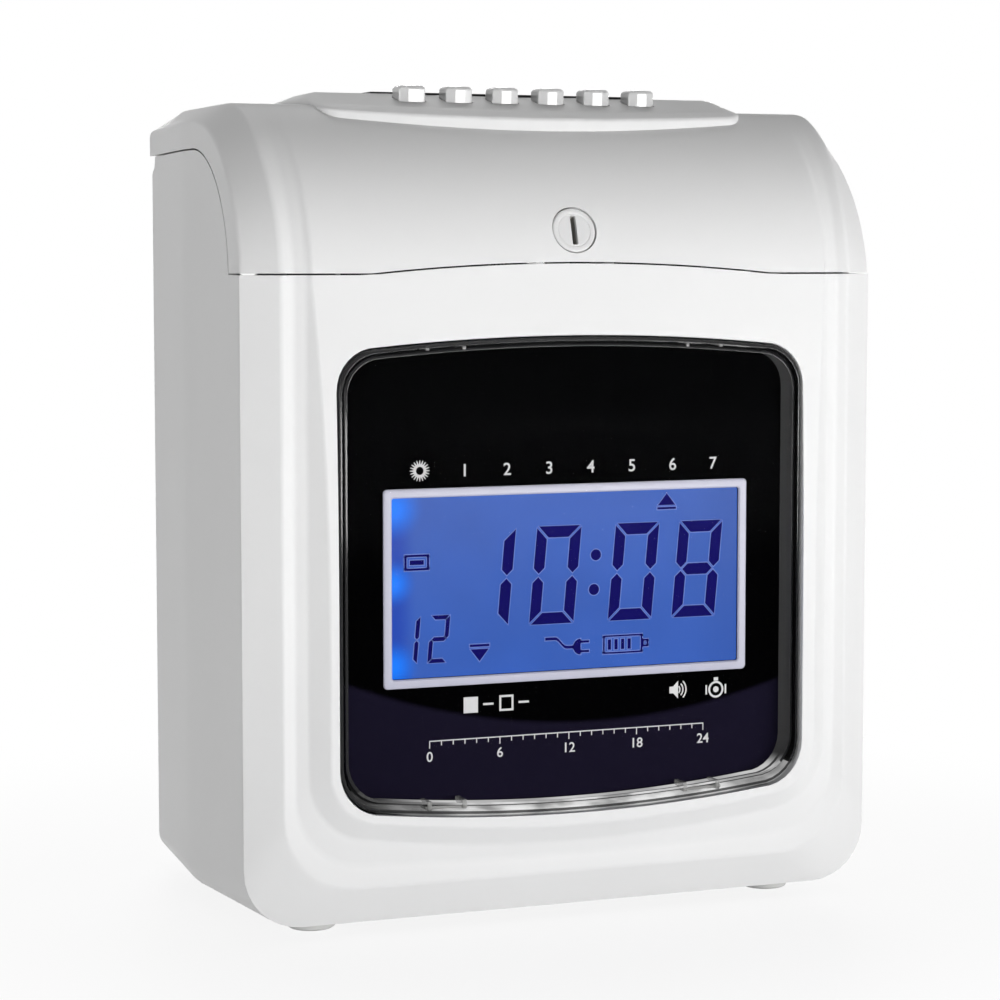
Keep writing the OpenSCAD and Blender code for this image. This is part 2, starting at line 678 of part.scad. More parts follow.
// A button: cap with sloped top edges, flange under the console and stem to its switch
module column_button(x) color("white") at_case() translate([x, button_y, 0]) {
    hull() {
        block(-button_w/2, button_w/2, -button_d/2, button_d/2, flange_z, button_top - 1.1);
        block(-button_w/2 + 0.9, button_w/2 - 0.9, -button_d/2 + 0.9, button_d/2 - 0.9, flange_z,
            button_top);
    }
    block(-button_w/2 - 1, button_w/2 + 1, -button_d/2 - 1, button_d/2 + 1, flange_z - flange_t + 0.8,
        flange_z + 0.8);
    translate([0, 0, stem_low]) cylinder(d = stem_d, h = flange_z - stem_low);
}
module keypad_board() color("darkgreen") at_case()
    block(-keys_half - 7, keys_half + 7, button_y - 10.3, card_y - card_gap/2 - tube_t - 1, keypad_z,
        keypad_z + board_t);
module key_switches() color("silver") at_case() for (x = button_xs)
    translate([x, button_y, keypad_z + board_t]) {
        block(-3, 3, -3, 3, 0, switch_h - 0.6);
        cylinder(d = 3, h = switch_h);
    }

module lock_place() translate([0, arc_y, arc_z]) rotate([90 - lock_tilt, 0, 0]) children();
module lock_housing() color("silver") at_case() lock_place() difference() {
    union() {
        translate([0, 0, surround_r - lock_deep + 2.4])
            cylinder(d = lock_stem_d + 2.6, h = nut_seat - surround_r + lock_deep - 2.4);
        translate([0, 0, nut_seat - nut_t]) cylinder(d = lock_d + 2.4, h = nut_t);
        translate([0, 0, nut_seat - 1]) cylinder(d = lock_d, h = surround_r - face_t - 0.5 - nut_seat + 1);
    }
    cylinder(d = lock_stem_d + 2*pin_fit, h = far);
}
module lock_plug() color("whitesmoke") at_case() lock_place() difference() {
    union() {
        translate([0, 0, surround_r - face_t - 0.2]) cylinder(d = lock_d, h = face_t);
        translate([0, 0, surround_r - lock_deep]) cylinder(d = lock_stem_d, h = lock_deep - face_t);
    }
    translate([-0.85, -4.3, surround_r - 6]) cube([1.7, 8.6, 10]);
    translate([0, 0, surround_r - lock_deep - 1]) cylinder(d = 2, h = 6);
}
module lock_cam() color("silver") at_case() lock_place() {
    translate([0, 0, surround_r - lock_deep - cam_t]) difference() {
        union() {
            cylinder(d = cam_w, h = cam_t);
            translate([-cam_w/2, -cam_l, 0]) cube([cam_w, cam_l, cam_t]);
        }
        cylinder(d = 2, h = far, center = true);
    }
    translate([0, 0, surround_r - lock_deep - cam_t - 1.4]) cylinder(d = 4, h = 1.4);
    translate([0, 0, surround_r - lock_deep - cam_t - 0.1]) cylinder(d = 2, h = cam_t + 5);
}
module hinge_pins() color("silver") at_case() for (s = [-1, 1])
    along_x(s*(knuckle_x + knuckle_w/2) - knuckle_w/2 - pin_in + 0.5, hinge_y, hinge_z, pin_d/2,
        knuckle_w + 2*pin_in - 1);

module feet() color("gainsboro") at_case() for (s = [-1, 1], y = foot_ys)
    translate([s*foot_x, y, -foot_h]) difference() {
        cylinder(d1 = foot_d - 1.6, d2 = foot_d, h = foot_h);
        translate([0, 0, -0.1]) cylinder(d = 6, h = 1.6);
    }
module case_screws() color("silver") at_case() for (s = [-1, 1], z = screw_zs) {
    along_y(s*screw_x, screw_front + 4, z, 3, 2.4);
    along_y(s*screw_x, screw_front - 8, z, 1.3, 12.1);
}
module power_inlet() color("black") at_case() translate([inlet_x, 0, inlet_z]) difference() {
    union() {
        block(-10.2, 10.2, case_d - 20, case_d, -6.2, 6.2);
        block(-13, 13, case_d - wall - 1.8, case_d - wall, -9, 9);
    }
    for (s = [-1, 1]) along_y(s*4.3, case_d - 12, 0, 4.3, 20);
    block(-4.3, 4.3, case_d - 12, case_d + 1, -4.3, 4.3);
}
module inlet_pins() color("silver") at_case() for (s = [-1, 1])
    along_y(inlet_x + s*4.3, case_d - 12, inlet_z, 1.2, 10);

// A steel frame bent from one sheet: base, two side plates, tabs for the belt and the cassette
module printer_frame() color("lightsteelblue") at_case() difference() {
    union() {
        block(-frame_half - sheet, frame_half + sheet, frame_front, frame_foot, frame_low,
            frame_low + sheet);
        for (s = [-1, 1]) {
            x0 = s*(frame_half + sheet/2);
            block(x0 - sheet/2, x0 + sheet/2, frame_front, frame_foot, frame_low, roller_z);
            block(x0 - sheet/2, x0 + sheet/2, frame_front, frame_back, plate_step_z, roller_z + 20);
            block(x0 - sheet/2, x0 + sheet/2, frame_front, guide_rear_y + 9, frame_low, frame_top);
            x1 = s*(frame_half - 12);
            block(x1 - 12, x1 + 12, frame_front, pulley_y + 14, tab_z, tab_z + tab_t);
            block(s*(frame_half - 3) - 3, s*(frame_half - 3) + 3, frame_front,
                cassette_front + cassette_body, cassette_low - tab_t, cassette_low);
        }
        translate([pulley_x, pulley_y, tab_z]) cylinder(d = axle_d, h = belt_z + belt_w + 3.4 - tab_z);
    }
    for (y = shaft_ys) along_x(-far/2, y, shaft_z, shaft_d/2, far);
    along_x(-far/2, feed_y, roller_z, axle_d/2 + run_fit, far);
    along_x(-far/2, pinch_y, roller_z, axle_d/2 + run_fit, far);
    along_x(0, motor_y, roller_z, 3.2, far);
    translate([-pulley_x, pulley_y, tab_z - 1]) cylinder(r = 3.2, h = 4);
    block(-far/2, far/2, frame_front + 14, frame_foot - 12, frame_low + 30, roller_z - 40);
}
module card_window(z0, z1) for (s = [-1, 1])
    block(s*roller_x - roller_w/2 - 1, s*roller_x + roller_w/2 + 1, 0, case_d, z0, z1);
module card_guide_front() color("dimgray") at_case() {
    difference() {
        block(-frame_half, frame_half, guide_front_y, guide_front_y + guide_t, guide_low, guide_top - 2);
        card_window(roller_z - tyre_r - 2, roller_z + tyre_r + 2);
        block(-slot_half, slot_half, 0, case_d, print_z - 8, print_z + 8);
    }
    across(slot_half) polygon([[guide_front_y, guide_top - 2], [guide_front_y + guide_t, guide_top - 2],
        [guide_front_y + guide_t - 1.4, guide_top - 0.4], [guide_front_y - 1.4, guide_top - 0.4]]);
}
module card_stop() color("dimgray") at_case()
    block(-slot_half, slot_half, guide_front_y, guide_rear_y + guide_t, guide_low - 1.5, guide_low);
module card_guide_rear() color("dimgray") at_case() {
    difference() {
        block(-frame_half, frame_half, guide_rear_y, guide_rear_y + guide_t, guide_low, guide_top - 2);
        card_window(roller_z - tyre_r - 2, roller_z + tyre_r + 2);
        block(-slot_half - 2.2, slot_half + 2.2, 0, case_d, print_z - 5.2, print_z + 5.2);
    }
    across(slot_half) polygon([[guide_rear_y, guide_top - 2], [guide_rear_y + guide_t, guide_top - 2],
        [guide_rear_y + guide_t + 1.4, guide_top - 0.4], [guide_rear_y + 1.4, guide_top - 0.4]]);
}
module platen() color("black") at_case() {
    block(-slot_half - 2, slot_half + 2, guide_rear_y, guide_rear_y + 7, print_z - 5, print_z + 5);
    block(-frame_half, frame_half, guide_rear_y + guide_t + 0.2, guide_rear_y + 7, print_z - 3, print_z + 3);
}
module guide_shafts() color("silver") at_case() for (y = shaft_ys)
    along_x(-frame_half - sheet - 1.5, y, shaft_z, shaft_d/2, 2*frame_half + 2*sheet + 3);

// The carriage hangs on both shafts and grips the rear run of the belt
module carriage() color("dimgray") at_case() difference() {
    union() {
        block(-carriage_w/2, carriage_w/2, shaft_ys[0] - 4.5, shaft_ys[1] + 4.5, shaft_z - 6, shaft_z + 5.5);
        block(-6, 6, pulley_y + belt_in - 2.4, pulley_y + belt_in + belt_t + 2.4, belt_z + 0.6, shaft_z - 5);
    }
    for (y = shaft_ys) along_x(-far/2, y, shaft_z, shaft_d/2 + run_fit, far);
    block(-far/2, far/2, pulley_y + belt_in - 0.3, pulley_y + belt_in + belt_t + 0.3, 0,
        belt_z + belt_w + 0.4);
}
module print_head() color("silver") at_case() {
    difference() {
        block(-head_w/2, head_w/2, shaft_ys[0] - 1.5, shaft_ys[1] + 3, shaft_z + 5.5, print_z + 5);
        for (i = [0:4])
            block(-head_w/2 - 1, head_w/2 + 1, shaft_ys[0] + 3*i, shaft_ys[0] + 1.5 + 3*i, shaft_z + 10,
                far);
    }
    block(-4, 4, shaft_ys[1] + 3, nose_y, print_z - 5, print_z + 5);
}

module can(r, h) union() {
    cylinder(r = r, h = h);
    translate([0, 0, h]) cylinder(r = 3, h = 2);
}
module belt_motor() color("silver") at_case() translate([-pulley_x, pulley_y, tab_z - 30]) difference() {
    can(motor_d/2, 30);
    translate([0, 0, 24]) cylinder(r = 1 + run_fit, h = 20);
}
module pulley() difference() {
    union() {
        translate([0, 0, belt_z - 1.6]) cylinder(r = 8, h = 1.2);
        translate([0, 0, belt_z - 0.5]) cylinder(r = pulley_r, h = belt_w + 1);
        translate([0, 0, belt_z + belt_w + 0.4]) cylinder(r = 8, h = 1.2);
    }
    for (i = [0:17]) rotate(20*i) translate([pulley_r - 0.15, 0, belt_z - 0.3])
        cylinder(r = 0.45, h = belt_w + 0.6);
}
module drive_pulley() color("white") at_case() translate([-pulley_x, pulley_y, 0]) {
    pulley();
    translate([0, 0, tab_z - 5.5]) cylinder(r = 1, h = 10);
}
module idler_pulley() color("white") at_case() translate([pulley_x, pulley_y, 0]) difference() {
    pulley();
    cylinder(r = axle_d/2 + run_fit, h = far);
}
module belt_loop(r) {
    for (s = [-1, 1]) translate([s*pulley_x, 0]) circle(r = r);
    translate([-pulley_x, -r]) square([2*pulley_x, 2*r]);
}
module drive_belt() color("black") at_case() translate([0, pulley_y, belt_z]) linear_extrude(belt_w)
    difference() {
        belt_loop(belt_in + belt_t);
        belt_loop(belt_in);
    }

// A spur gear with straight-sided teeth; its first tooth points along x
function gear_points(teeth) = let (r = gear_m*teeth/2, step = 360/teeth)
    [for (i = [0:teeth - 1], c = [[-0.29, -1.05], [-0.13, 0.8], [0.13, 0.8], [0.29, -1.05]])
        let (a = step*(i + c[0]), q = r + c[1]*gear_m) [q*cos(a), q*sin(a)]];
module gear(teeth, bore) rotate([90, 0, 90]) difference() {
    linear_extrude(gear_w) polygon(gear_points(teeth));
    translate([0, 0, -1]) cylinder(r = bore, h = gear_w + 2);
}
module feed_motor() color("silver") at_case() translate([frame_half - 32, motor_y, roller_z])
    rotate([0, 90, 0]) difference() {
        can(motor_d/2, 32);
        translate([0, 0, 24]) cylinder(r = 1 + run_fit, h = 20);
    }
module feed_pinion() color("ivory") at_case() translate([gear_x, motor_y, roller_z]) {
    rotate([180/pinion_teeth + 180, 0, 0]) gear(pinion_teeth, 0.6);
    along_x(-gear_x + frame_half - 7, 0, 0, 1, gear_x - frame_half + 7 + gear_w);
}
module feed_gear() color("ivory") at_case() translate([gear_x, feed_y, roller_z])
    gear(gear_teeth, axle_d/2);
module feed_shaft() color("silver") at_case()
    along_x(-frame_half - sheet - 3, feed_y, roller_z, axle_d/2, gear_x + gear_w + frame_half + sheet + 3);
module feed_tyres() color("dimgray") at_case() for (s = [-1, 1]) difference() {
    along_x(s*roller_x - roller_w/2, feed_y, roller_z, tyre_r, roller_w);
    along_x(s*roller_x - roller_w/2 - 1, feed_y, roller_z, axle_d/2, roller_w + 2);
}
module pinch_shaft() color("silver") at_case()
    along_x(-frame_half - sheet - 1.2, pinch_y, roller_z, axle_d/2, 2*(frame_half + sheet + 1.2));
module pinch_rollers() color("white") at_case() for (s = [-1, 1]) difference() {
    along_x(s*roller_x - roller_w/2, pinch_y, roller_z, pinch_r, roller_w);
    along_x(s*roller_x - roller_w/2 - 1, pinch_y, roller_z, axle_d/2, roller_w + 2);
}

module ribbon_cassette() color("black") at_case() difference() {
    union() {
        block(-cassette_half, cassette_half, cassette_front, cassette_front + cassette_body, cassette_low,
            cassette_low + cassette_h);
        for (s = [-1, 1])
            block(s*(cassette_half - arm_w/2) - arm_w/2, s*(cassette_half - arm_w/2) + arm_w/2,
                cassette_front, nose_y + 0.3, cassette_low, cassette_low + cassette_h);
    }
    translate([knob_x, knob_y, cassette_low + 4]) cylinder(r = 2 + run_fit, h = far);
}
module ink_ribbon() color("black") at_case()
    block(-cassette_half + 1, cassette_half - 1, nose_y + 0.3, nose_y + 0.5, ribbon_z - ribbon_h/2,
        ribbon_z + ribbon_h/2);
module ribbon_knob() color("dimgray") at_case() translate([knob_x, knob_y, 0]) {
    translate([0, 0, cassette_low + 5]) cylinder(r = 2, h = cassette_h - 2);
    translate([0, 0, cassette_low + cassette_h + 0.3]) difference() {
        cylinder(r = 4.2, h = 3.6);
        for (i = [0:11]) rotate(30*i) translate([4.2, 0, -0.1]) cylinder(r = 0.5, h = 4);
    }
}

module main_board() color("darkgreen") at_case()
    block(main_mid - main_half, main_mid + main_half, main_board_y, main_board_y + board_t,
        main_low, main_high);
module board_chips() color("dimgray") at_case() translate([main_mid, main_board_y, main_low]) {
    block(-16, 8, -3, 0, 30, 38);
    block(22, 36, -2.6, 0, 54, 68);
    block(40, 50, -9, 0, 8, 14);
}
module buzzer() color("black") at_case() along_y(buzzer_x, main_board_y - 7, main_low + 39, 6, 7);
module transformer_core() color("dimgray") at_case() translate([0, case_d - wall - 8, 0]) difference() {
    block(coil_x - core_w/2, coil_x + core_w/2, -16, 0, wall, wall + core_h);
    for (s = [-1, 1])
        block(coil_x + s*core_w/4 - core_w/12, coil_x + s*core_w/4 + core_w/12, -20, 5, wall + 7,
            wall + core_h - 7);
}
module transformer_coil() color("khaki") at_case()
    translate([coil_x, case_d - wall - 16, wall + core_h/2]) difference() {
        block(-coil_w/2, coil_w/2, -14, 14, -core_h/2 + 7.2, core_h/2 - 7.2);
        block(-core_w/6, core_w/6, -8, 8, -core_h/2 + 7, core_h/2 - 7);
    }
module battery_pack() color("steelblue") at_case() for (c = [[0, 0], [-2, 0], [-1, sqrt(3)]])
    along_x(cell_x, case_d - wall - cell_r - 0.5 + cell_r*c[0], wall + cell_r + cell_r*c[1], cell_r,
        cell_l);

rear_case();
front_bezel();
window_cover();
display_panel();
lcd_frame();
lcd_glass();
backlight();
display_board();
lid_cover();
console();
card_slot_surround();
column_button(button_xs[0]);  // button_1
column_button(button_xs[1]);  // button_2
column_button(button_xs[2]);  // button_3
column_button(button_xs[3]);  // button_4
column_button(button_xs[4]);  // button_5
column_button(button_xs[5]);  // button_6
keypad_board();
key_switches();
lock_housing();
lock_plug();
lock_cam();
hinge_pins();
feet();
case_screws();
power_inlet();
inlet_pins();
printer_frame();
card_guide_front();
card_guide_rear();
platen();
guide_shafts();
carriage();
print_head();
belt_motor();
drive_pulley();
idler_pulley();
drive_belt();
feed_motor();
feed_pinion();
feed_gear();
feed_shaft();
feed_tyres();
pinch_shaft();
pinch_rollers();
ribbon_cassette();
ink_ribbon();
ribbon_knob();
card_stop();
main_board();
board_chips();
buzzer();
transformer_core();
transformer_coil();
battery_pack();
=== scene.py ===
import math

import bpy
import numpy as np
from mathutils import Matrix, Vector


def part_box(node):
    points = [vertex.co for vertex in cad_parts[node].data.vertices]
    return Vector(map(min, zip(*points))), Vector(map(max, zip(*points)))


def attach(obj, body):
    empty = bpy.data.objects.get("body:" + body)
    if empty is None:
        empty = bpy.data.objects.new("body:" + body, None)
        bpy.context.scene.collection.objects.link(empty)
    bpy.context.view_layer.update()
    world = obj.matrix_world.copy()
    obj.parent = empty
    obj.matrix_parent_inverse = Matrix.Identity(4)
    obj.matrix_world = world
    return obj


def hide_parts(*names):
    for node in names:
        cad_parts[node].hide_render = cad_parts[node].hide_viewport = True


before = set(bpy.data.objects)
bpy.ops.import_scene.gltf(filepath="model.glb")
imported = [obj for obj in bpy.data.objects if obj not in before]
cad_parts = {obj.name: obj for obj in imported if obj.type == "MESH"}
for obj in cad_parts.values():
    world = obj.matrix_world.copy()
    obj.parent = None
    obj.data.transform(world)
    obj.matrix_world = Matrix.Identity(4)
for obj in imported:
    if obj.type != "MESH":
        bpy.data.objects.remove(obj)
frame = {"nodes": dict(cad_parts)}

bl_info = {
    "name": "Card time clock",
    "version": (1, 0, 0),
    "blender": (4, 5, 0),
    "location": "3D View > Sidebar > Time clock",
    "description": "Builds the shells, display, keys and finishes of a desk or wall time clock for cards",
    "category": "Object",
}

# Sizes are millimetres in the case's own coordinates: y from the front crease, z from its underside
CASE_DEPTH = 119.0
CASE_LOW, CASE_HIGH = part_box("rear_case")
CASE_SHIFT = np.array([0.0, CASE_HIGH.y * 1000 - CASE_DEPTH, CASE_LOW.z * 1000])
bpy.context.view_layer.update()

# The case in plan
HALF_W = 98.0
FOLD_Y = 61.0
FOLD_HALF = 97.0
BACK_HALF = 91.0
WALL = 2.4

# Half widths of the three lines that run up the bezel and on over the lid, from its edge inwards
LINE_XS = (87.9, 84.35, 80.8)

# The shoulder over which the lid curves, and the top
ARC_Y = 47.5
ARC_Z = 180.0
FACE_R = 55.0
CREASE_Y = 50.2
CREASE_Z = 177.4
CREASE_R = 50.2
TOP_Z = 232.2
SLOPE_Y = 82.0
REAR_TOP_Z = 227.4

# Where, on the way from the seam to the arc's middle, the face starts to bend level and is level
BEND_START = 0.72
BEND_END = 0.88

# The seam between lid and case
SEAM_Z = 183.65
SEAM_GAP = 0.25
LID_LOW = SEAM_Z + SEAM_GAP
SEAM_RISE = 3.15
RISE_HALF = 62.0
SEAM_CY = 49.5
SEAM_CZ = 181.0
SEAM_R = 38.5
SKIRT_Z = 219.5
HINGE_Y = 115.0
HINGE_Z = 219.5
HINGE_R = 4.0
WEB_Y = 116.8
KNUCKLES = (58.4, 73.6)
SHELL_END = 214.1

# The face round the window: upright up to a height, then a wide arc that leans back
FACE_Y = -10.7
LEAN_Z = 84.0
LEAN_R = 1500.0

# The window and what stands behind it
WINDOW_HALF = 72.7
WINDOW_LOW = 29.2
WINDOW_TOP = 166.3
WINDOW_Y = -9.3
WALL_FRONT_Y = WINDOW_Y + 3.3
TOP_BOW = 2.8
LOW_BOW = 3.4
PANEL_Y = -1.2
SHELF_Y = 0.4
LCD_HALF_W = 54.4
LCD_HALF_H = 25.8
LCD_Z = 94.8
LCD_Y = -1.0

# The console with its keys and card slot
CONSOLE_HALF = 67.0
CONSOLE_FRONT = 15.6
CONSOLE_BACK = 84.0
CREST_Y = 40.0
CREST_Z = 236.2
BUTTON_Y = 32.3
BUTTON_PITCH = 14.6
BUTTON_TOP = 238.1
BUTTONS = [((i - 2.5) * BUTTON_PITCH, BUTTON_Y) for i in range(6)]
CARD_Y = 48.0
PLATE_Y = 48.05

# The lock in the curve of the lid
LOCK_TILT = math.asin(16.2 / FACE_R)
LOCK_D = 13.2

# Heights between which openings in lid and console are cut
LID_CUT = (200, 260)
DECK_CUT = (215, 250)

# Screws, and the depths between which the back wall is cut
SCREW_X = 81.0
SCREW_ZS = (24.0, 150.0)
BACK_CUT = (112, 125)
KEYHOLE_X = 60
KEYHOLE_Z = 186

# Points along the sides, the round corners and the lower edge of a ring
SIDE_COUNT = 26
ARC_COUNT = 8
LOW_COUNT = 24


# Shapes

def to_row(points):
    """Case millimetres moved and scaled into the row frame's metres."""
    return (np.asarray(points, float) + CASE_SHIFT) / 1000


def angles(first, last, count):
    """Evenly spaced angles from first to last, given in degrees and returned in radians."""
    return np.linspace(first, last, count) * math.pi / 180


def round_points(u, v, radius, turn):
    """Points of a circle about (u, v) at the angles of turn."""
    return np.stack([u + radius * np.cos(turn), v + radius * np.sin(turn)], 1)


def smooth(t):
    """A step from 0 to 1 that starts and ends level: three t squared less two t cubed."""
    t = np.clip(t, 0, 1)
    return t * t * (3 - 2 * t)


def bent(y, left, right, at, blend):
    """Two straight lines that meet at a bend: one fades into the other over the blend on each side."""
    t = np.clip((y - at + blend) / (2 * blend), 0, 1)
    return left(y) + (right(y) - left(y)) * smooth(t)


def side_half(y):
    """Half the width of the case at depth y: two straight tapers with a soft fold between them."""
    return bent(
        np.asarray(y, float),
        lambda v: HALF_W - (HALF_W - FOLD_HALF) * v / FOLD_Y,
        lambda v: FOLD_HALF - (FOLD_HALF - BACK_HALF) * (v - FOLD_Y) / (CASE_DEPTH - FOLD_Y),
        FOLD_Y,
        5.0,
    )


def seam_rise(x):
    """How far the front seam rises at x: an arc over the middle of the front."""
    radius = (RISE_HALF**2 + SEAM_RISE**2) / (2 * SEAM_RISE)
    inside = np.clip(np.abs(x), 0, RISE_HALF)
    return np.sqrt(radius**2 - inside**2) - (radius - SEAM_RISE)


def face_y(z):
    """The face round the window: upright below, then a wide arc that leans back to the seam."""
    above = np.clip(np.asarray(z, float) - LEAN_Z, 0, None)
    return FACE_Y + LEAN_R - np.sqrt(LEAN_R**2 - above**2)


def soften(rows, sizes, steps=4):
    """Rounds the corners of a pile of rows: each is swapped for a parabola between two near points."""
    out = [rows[0]]
    for i in range(1, len(rows) - 1):
        if not sizes[i]:
            out.append(rows[i])
            continue
        before = rows[i - 1] - rows[i]
        after = rows[i + 1] - rows[i]
        reach = [np.maximum(np.linalg.norm(v, axis=-1, keepdims=True), 1e-9) for v in (before, after)]
        start = rows[i] + before * np.minimum(sizes[i] / reach[0], 0.46)
        end = rows[i] + after * np.minimum(sizes[i] / reach[1], 0.46)
        for t in np.linspace(0, 1, steps + 1):
            out.append((1 - t) ** 2 * start + 2 * t * (1 - t) * rows[i] + t * t * end)
    out.append(rows[-1])
    return np.stack(out)


def low_half(half, low, bow, radius):
    """Right half of a lower edge: a bowed line from the middle, then a round corner."""
    x = np.linspace(0, half - radius, LOW_COUNT // 2 + 1)
    line = np.stack([x, low + bow * (x / (half - radius)) ** 2], 1)
    a = angles(-90, 0, ARC_COUNT + 1)[1:]
    arc = np.stack([half - radius + radius * np.cos(a), low + bow + radius * (1 + np.sin(a))], 1)
    return np.concatenate([line, arc])


def both_sides(right):
    """A curve from the middle outwards, joined to its mirror so that it runs from left to right."""
    left = right[::-1] * np.array([-1.0] + [1.0] * (right.shape[1] - 1))
    return np.concatenate([left[:-1], right])


def open_ring(half, low, bow, radius, top, y):
    """A ring of the front: down the left side, round the lower edge and up the right side."""
    corner = low_half(half, low, bow, radius)
    z = np.linspace(corner[-1, 1], top, SIDE_COUNT + 1)[1:]
    side = np.stack([np.full_like(z, half), z], 1)
    ring = both_sides(np.concatenate([corner, side]))
    return np.stack([ring[:, 0], np.full(len(ring), y), ring[:, 1]], 1)


def window_ring(inset, y, top_count=24):
    """The window's outline: bowed top and bottom, upright sides and four round corners."""
    half = WINDOW_HALF - inset
    r0, r1 = 13 - inset / 2, 12 - inset / 2
    corner = low_half(half, WINDOW_LOW + inset, LOW_BOW, r0)
    top = WINDOW_TOP - inset
    upper = round_points(half - r1, top - TOP_BOW - r1, r1, angles(0, 90, 9))
    z = np.linspace(corner[-1, 1], upper[0, 1], SIDE_COUNT - 7)[1:-1]
    side = np.stack([np.full_like(z, half), z], 1)
    ring = both_sides(np.concatenate([corner, side, upper]))
    x = np.linspace(half - r1, -(half - r1), top_count + 2)[1:-1]
    edge = np.stack([x, top - TOP_BOW * (x / (half - r1)) ** 2], 1)
    ring = np.concatenate([ring, edge])
    return np.stack([ring[:, 0], np.full(len(ring), y), ring[:, 1]], 1)


def drawn_in(ring, left=0.0, right=0.0, top=0.0, low=0.0):
    """A window ring drawn in: each point by its side's amount times its share of the way out."""
    middle = (WINDOW_LOW + WINDOW_TOP) / 2
    x, z = ring[:, 0] / WINDOW_HALF, (ring[:, 2] - middle) / (WINDOW_TOP - middle)
    out = ring.copy()
    out[:, 0] += np.where(x < 0, -x * left, -x * right)
    out[:, 2] += np.where(z < 0, -z * low, -z * top)
    return out


def round_rect(half_x, half_y, radius):
    """A rectangle with round corners of six points each, counterclockwise, as points in a plane."""
    signs = ((1, 1), (-1, 1), (-1, -1), (1, -1))
    return np.concatenate([
        round_points(sx * (half_x - radius), sy * (half_y - radius), radius, angles(90 * k, 90 * k + 90, 6))
        for k, (sx, sy) in enumerate(signs)
    ])


def flat_ring(outline, z, centre=(0.0, 0.0)):
    """An outline laid level at height z about a centre in x and y."""
    return np.stack([outline[:, 0] + centre[0], outline[:, 1] + centre[1], np.full(len(outline), z)], 1)


def front_ring(outline, y, centre=(0.0, 0.0)):
    """An outline stood upright at depth y about a centre in x and z."""
    return np.stack([outline[:, 0] + centre[0], np.full(len(outline), y), outline[:, 1] + centre[1]], 1)


def side_ring(outline, x):
    """An outline in y and z stood upright at x."""
    return np.stack([np.full(len(outline), x), outline[:, 0], outline[:, 1]], 1)


# Meshes

def grid_faces(rows, columns, around=False, along=False):
    """Quads between neighbouring rows and columns; around closes each row, along joins last to first."""
    index = np.arange(rows * columns).reshape(rows, columns)
    if around:
        index = np.concatenate([index, index[:, :1]], 1)
    if along:
        index = np.concatenate([index, index[:1]], 0)
    a, b = index[:-1, :-1], index[:-1, 1:]
    c, d = index[1:, 1:], index[1:, :-1]
    return np.stack([a, b, c, d], -1).reshape(-1, 4)


def joined(patches):
    """Several grids as one list of points and quads, with points that fall together made one."""
    points = np.concatenate([p.reshape(-1, 3) for p, _ in patches])
    start, faces = 0, []
    for p, f in patches:
        faces.append(f + start)
        start += p.shape[0] * p.shape[1]
    _, first, back = np.unique(np.round(points, 3), axis=0, return_index=True, return_inverse=True)
    return first, back.reshape(-1)[np.concatenate(faces)]


def clean(quads):
    """Quads whose corners have run together become triangles, or go."""
    same = quads == np.roll(quads, -1, axis=1)
    whole = quads[~same.any(1)].tolist()
    thin = [list(dict.fromkeys(q)) for q in quads[same.any(1)].tolist()]
    return whole + [t for t in thin if len(t) > 2]


def walled(outer, inner, face_lists):
    """A closed wall from an outer and an inner skin on the same grids, with a rim along every edge."""
    first, quads = joined(list(zip(outer, face_lists)))
    out = np.concatenate([p.reshape(-1, 3) for p in outer])[first]
    ins = np.concatenate([p.reshape(-1, 3) for p in inner])[first]
    quads = np.array([q for q in clean(quads) if len(q) == 4])
    count = len(out)
    sides = np.stack([quads, np.roll(quads, -1, axis=1)], -1).reshape(-1, 2)
    _, at, uses = np.unique(np.sort(sides, 1), axis=0, return_index=True, return_counts=True)
    rim = sides[at[uses == 1]]
    band = np.stack([rim[:, 1], rim[:, 0], rim[:, 0] + count, rim[:, 1] + count], 1)
    faces = quads.tolist() + (quads[:, ::-1] + count).tolist() + band.tolist()
    return np.concatenate([out, ins]), faces


def lofted(rings, closed=False):
    """Rings joined in order; the two ends are capped flat, or joined to each other if closed."""
    rings = np.stack(rings)
    rows, columns = rings.shape[:2]
    faces = grid_faces(rows, columns, around=True, along=closed).tolist()
    if not closed:
        faces.append(list(range(columns))[::-1])
        faces.append([(rows - 1) * columns + k for k in range(columns)])
    return rings.reshape(-1, 3), faces


def turned(profile, centre, axis, count=40):
    """A profile of (radius, height) points spun about an axis through a centre."""
    a = np.arange(count) * 2 * math.pi / count
    axis = np.asarray(axis, float) / np.linalg.norm(axis)
    side = np.cross(axis, [0.0, 0.0, 1.0])
    if np.linalg.norm(side) < 0.5:
        side = np.array([1.0, 0.0, 0.0])
    side = side / np.linalg.norm(side)
    other = np.cross(axis, side)
    spin = np.cos(a)[:, None] * side + np.sin(a)[:, None] * other
    return [np.asarray(centre) + r * spin + h * axis for r, h in profile]


def several(parts):
    """Separate solids put into one list of points and faces."""
    points, faces, start = [], [], 0
    for p, f in parts:
        points.append(p)
        faces += [[i + start for i in face] for face in f]
        start += len(p)
    return np.concatenate(points), faces


def bar(x0, x1, z0, z1):
    """A rectangle as an outline."""
    return np.array([[x0, z0], [x1, z0], [x1, z1], [x0, z1]], float)


def prism(ring, outline, ends, *centre):
    """An outline drawn from one end to another: ring stands or lays it, about a centre where one is given."""
    return lofted([ring(outline, end, *centre) for end in ends])


def slab(x0, x1, y0, y1, z0, z1):
    """A block between two corners, as a level rectangle raised from z0 to z1."""
    return prism(flat_ring, bar(x0, x1, y0, y1), (z0, z1))


def post(profile, x, z, closed=False):
    """A profile of (radius, depth) points spun about a level axis that runs back at x and z."""
    return lofted(turned(profile, (x, 0, z), (0, 1, 0)), closed)


def stud(profile, x, y, count=40):
    """A profile of (radius, height) points spun about an upright axis at x and y."""
    return lofted(turned(profile, (x, y, 0), (0, 0, 1), count))


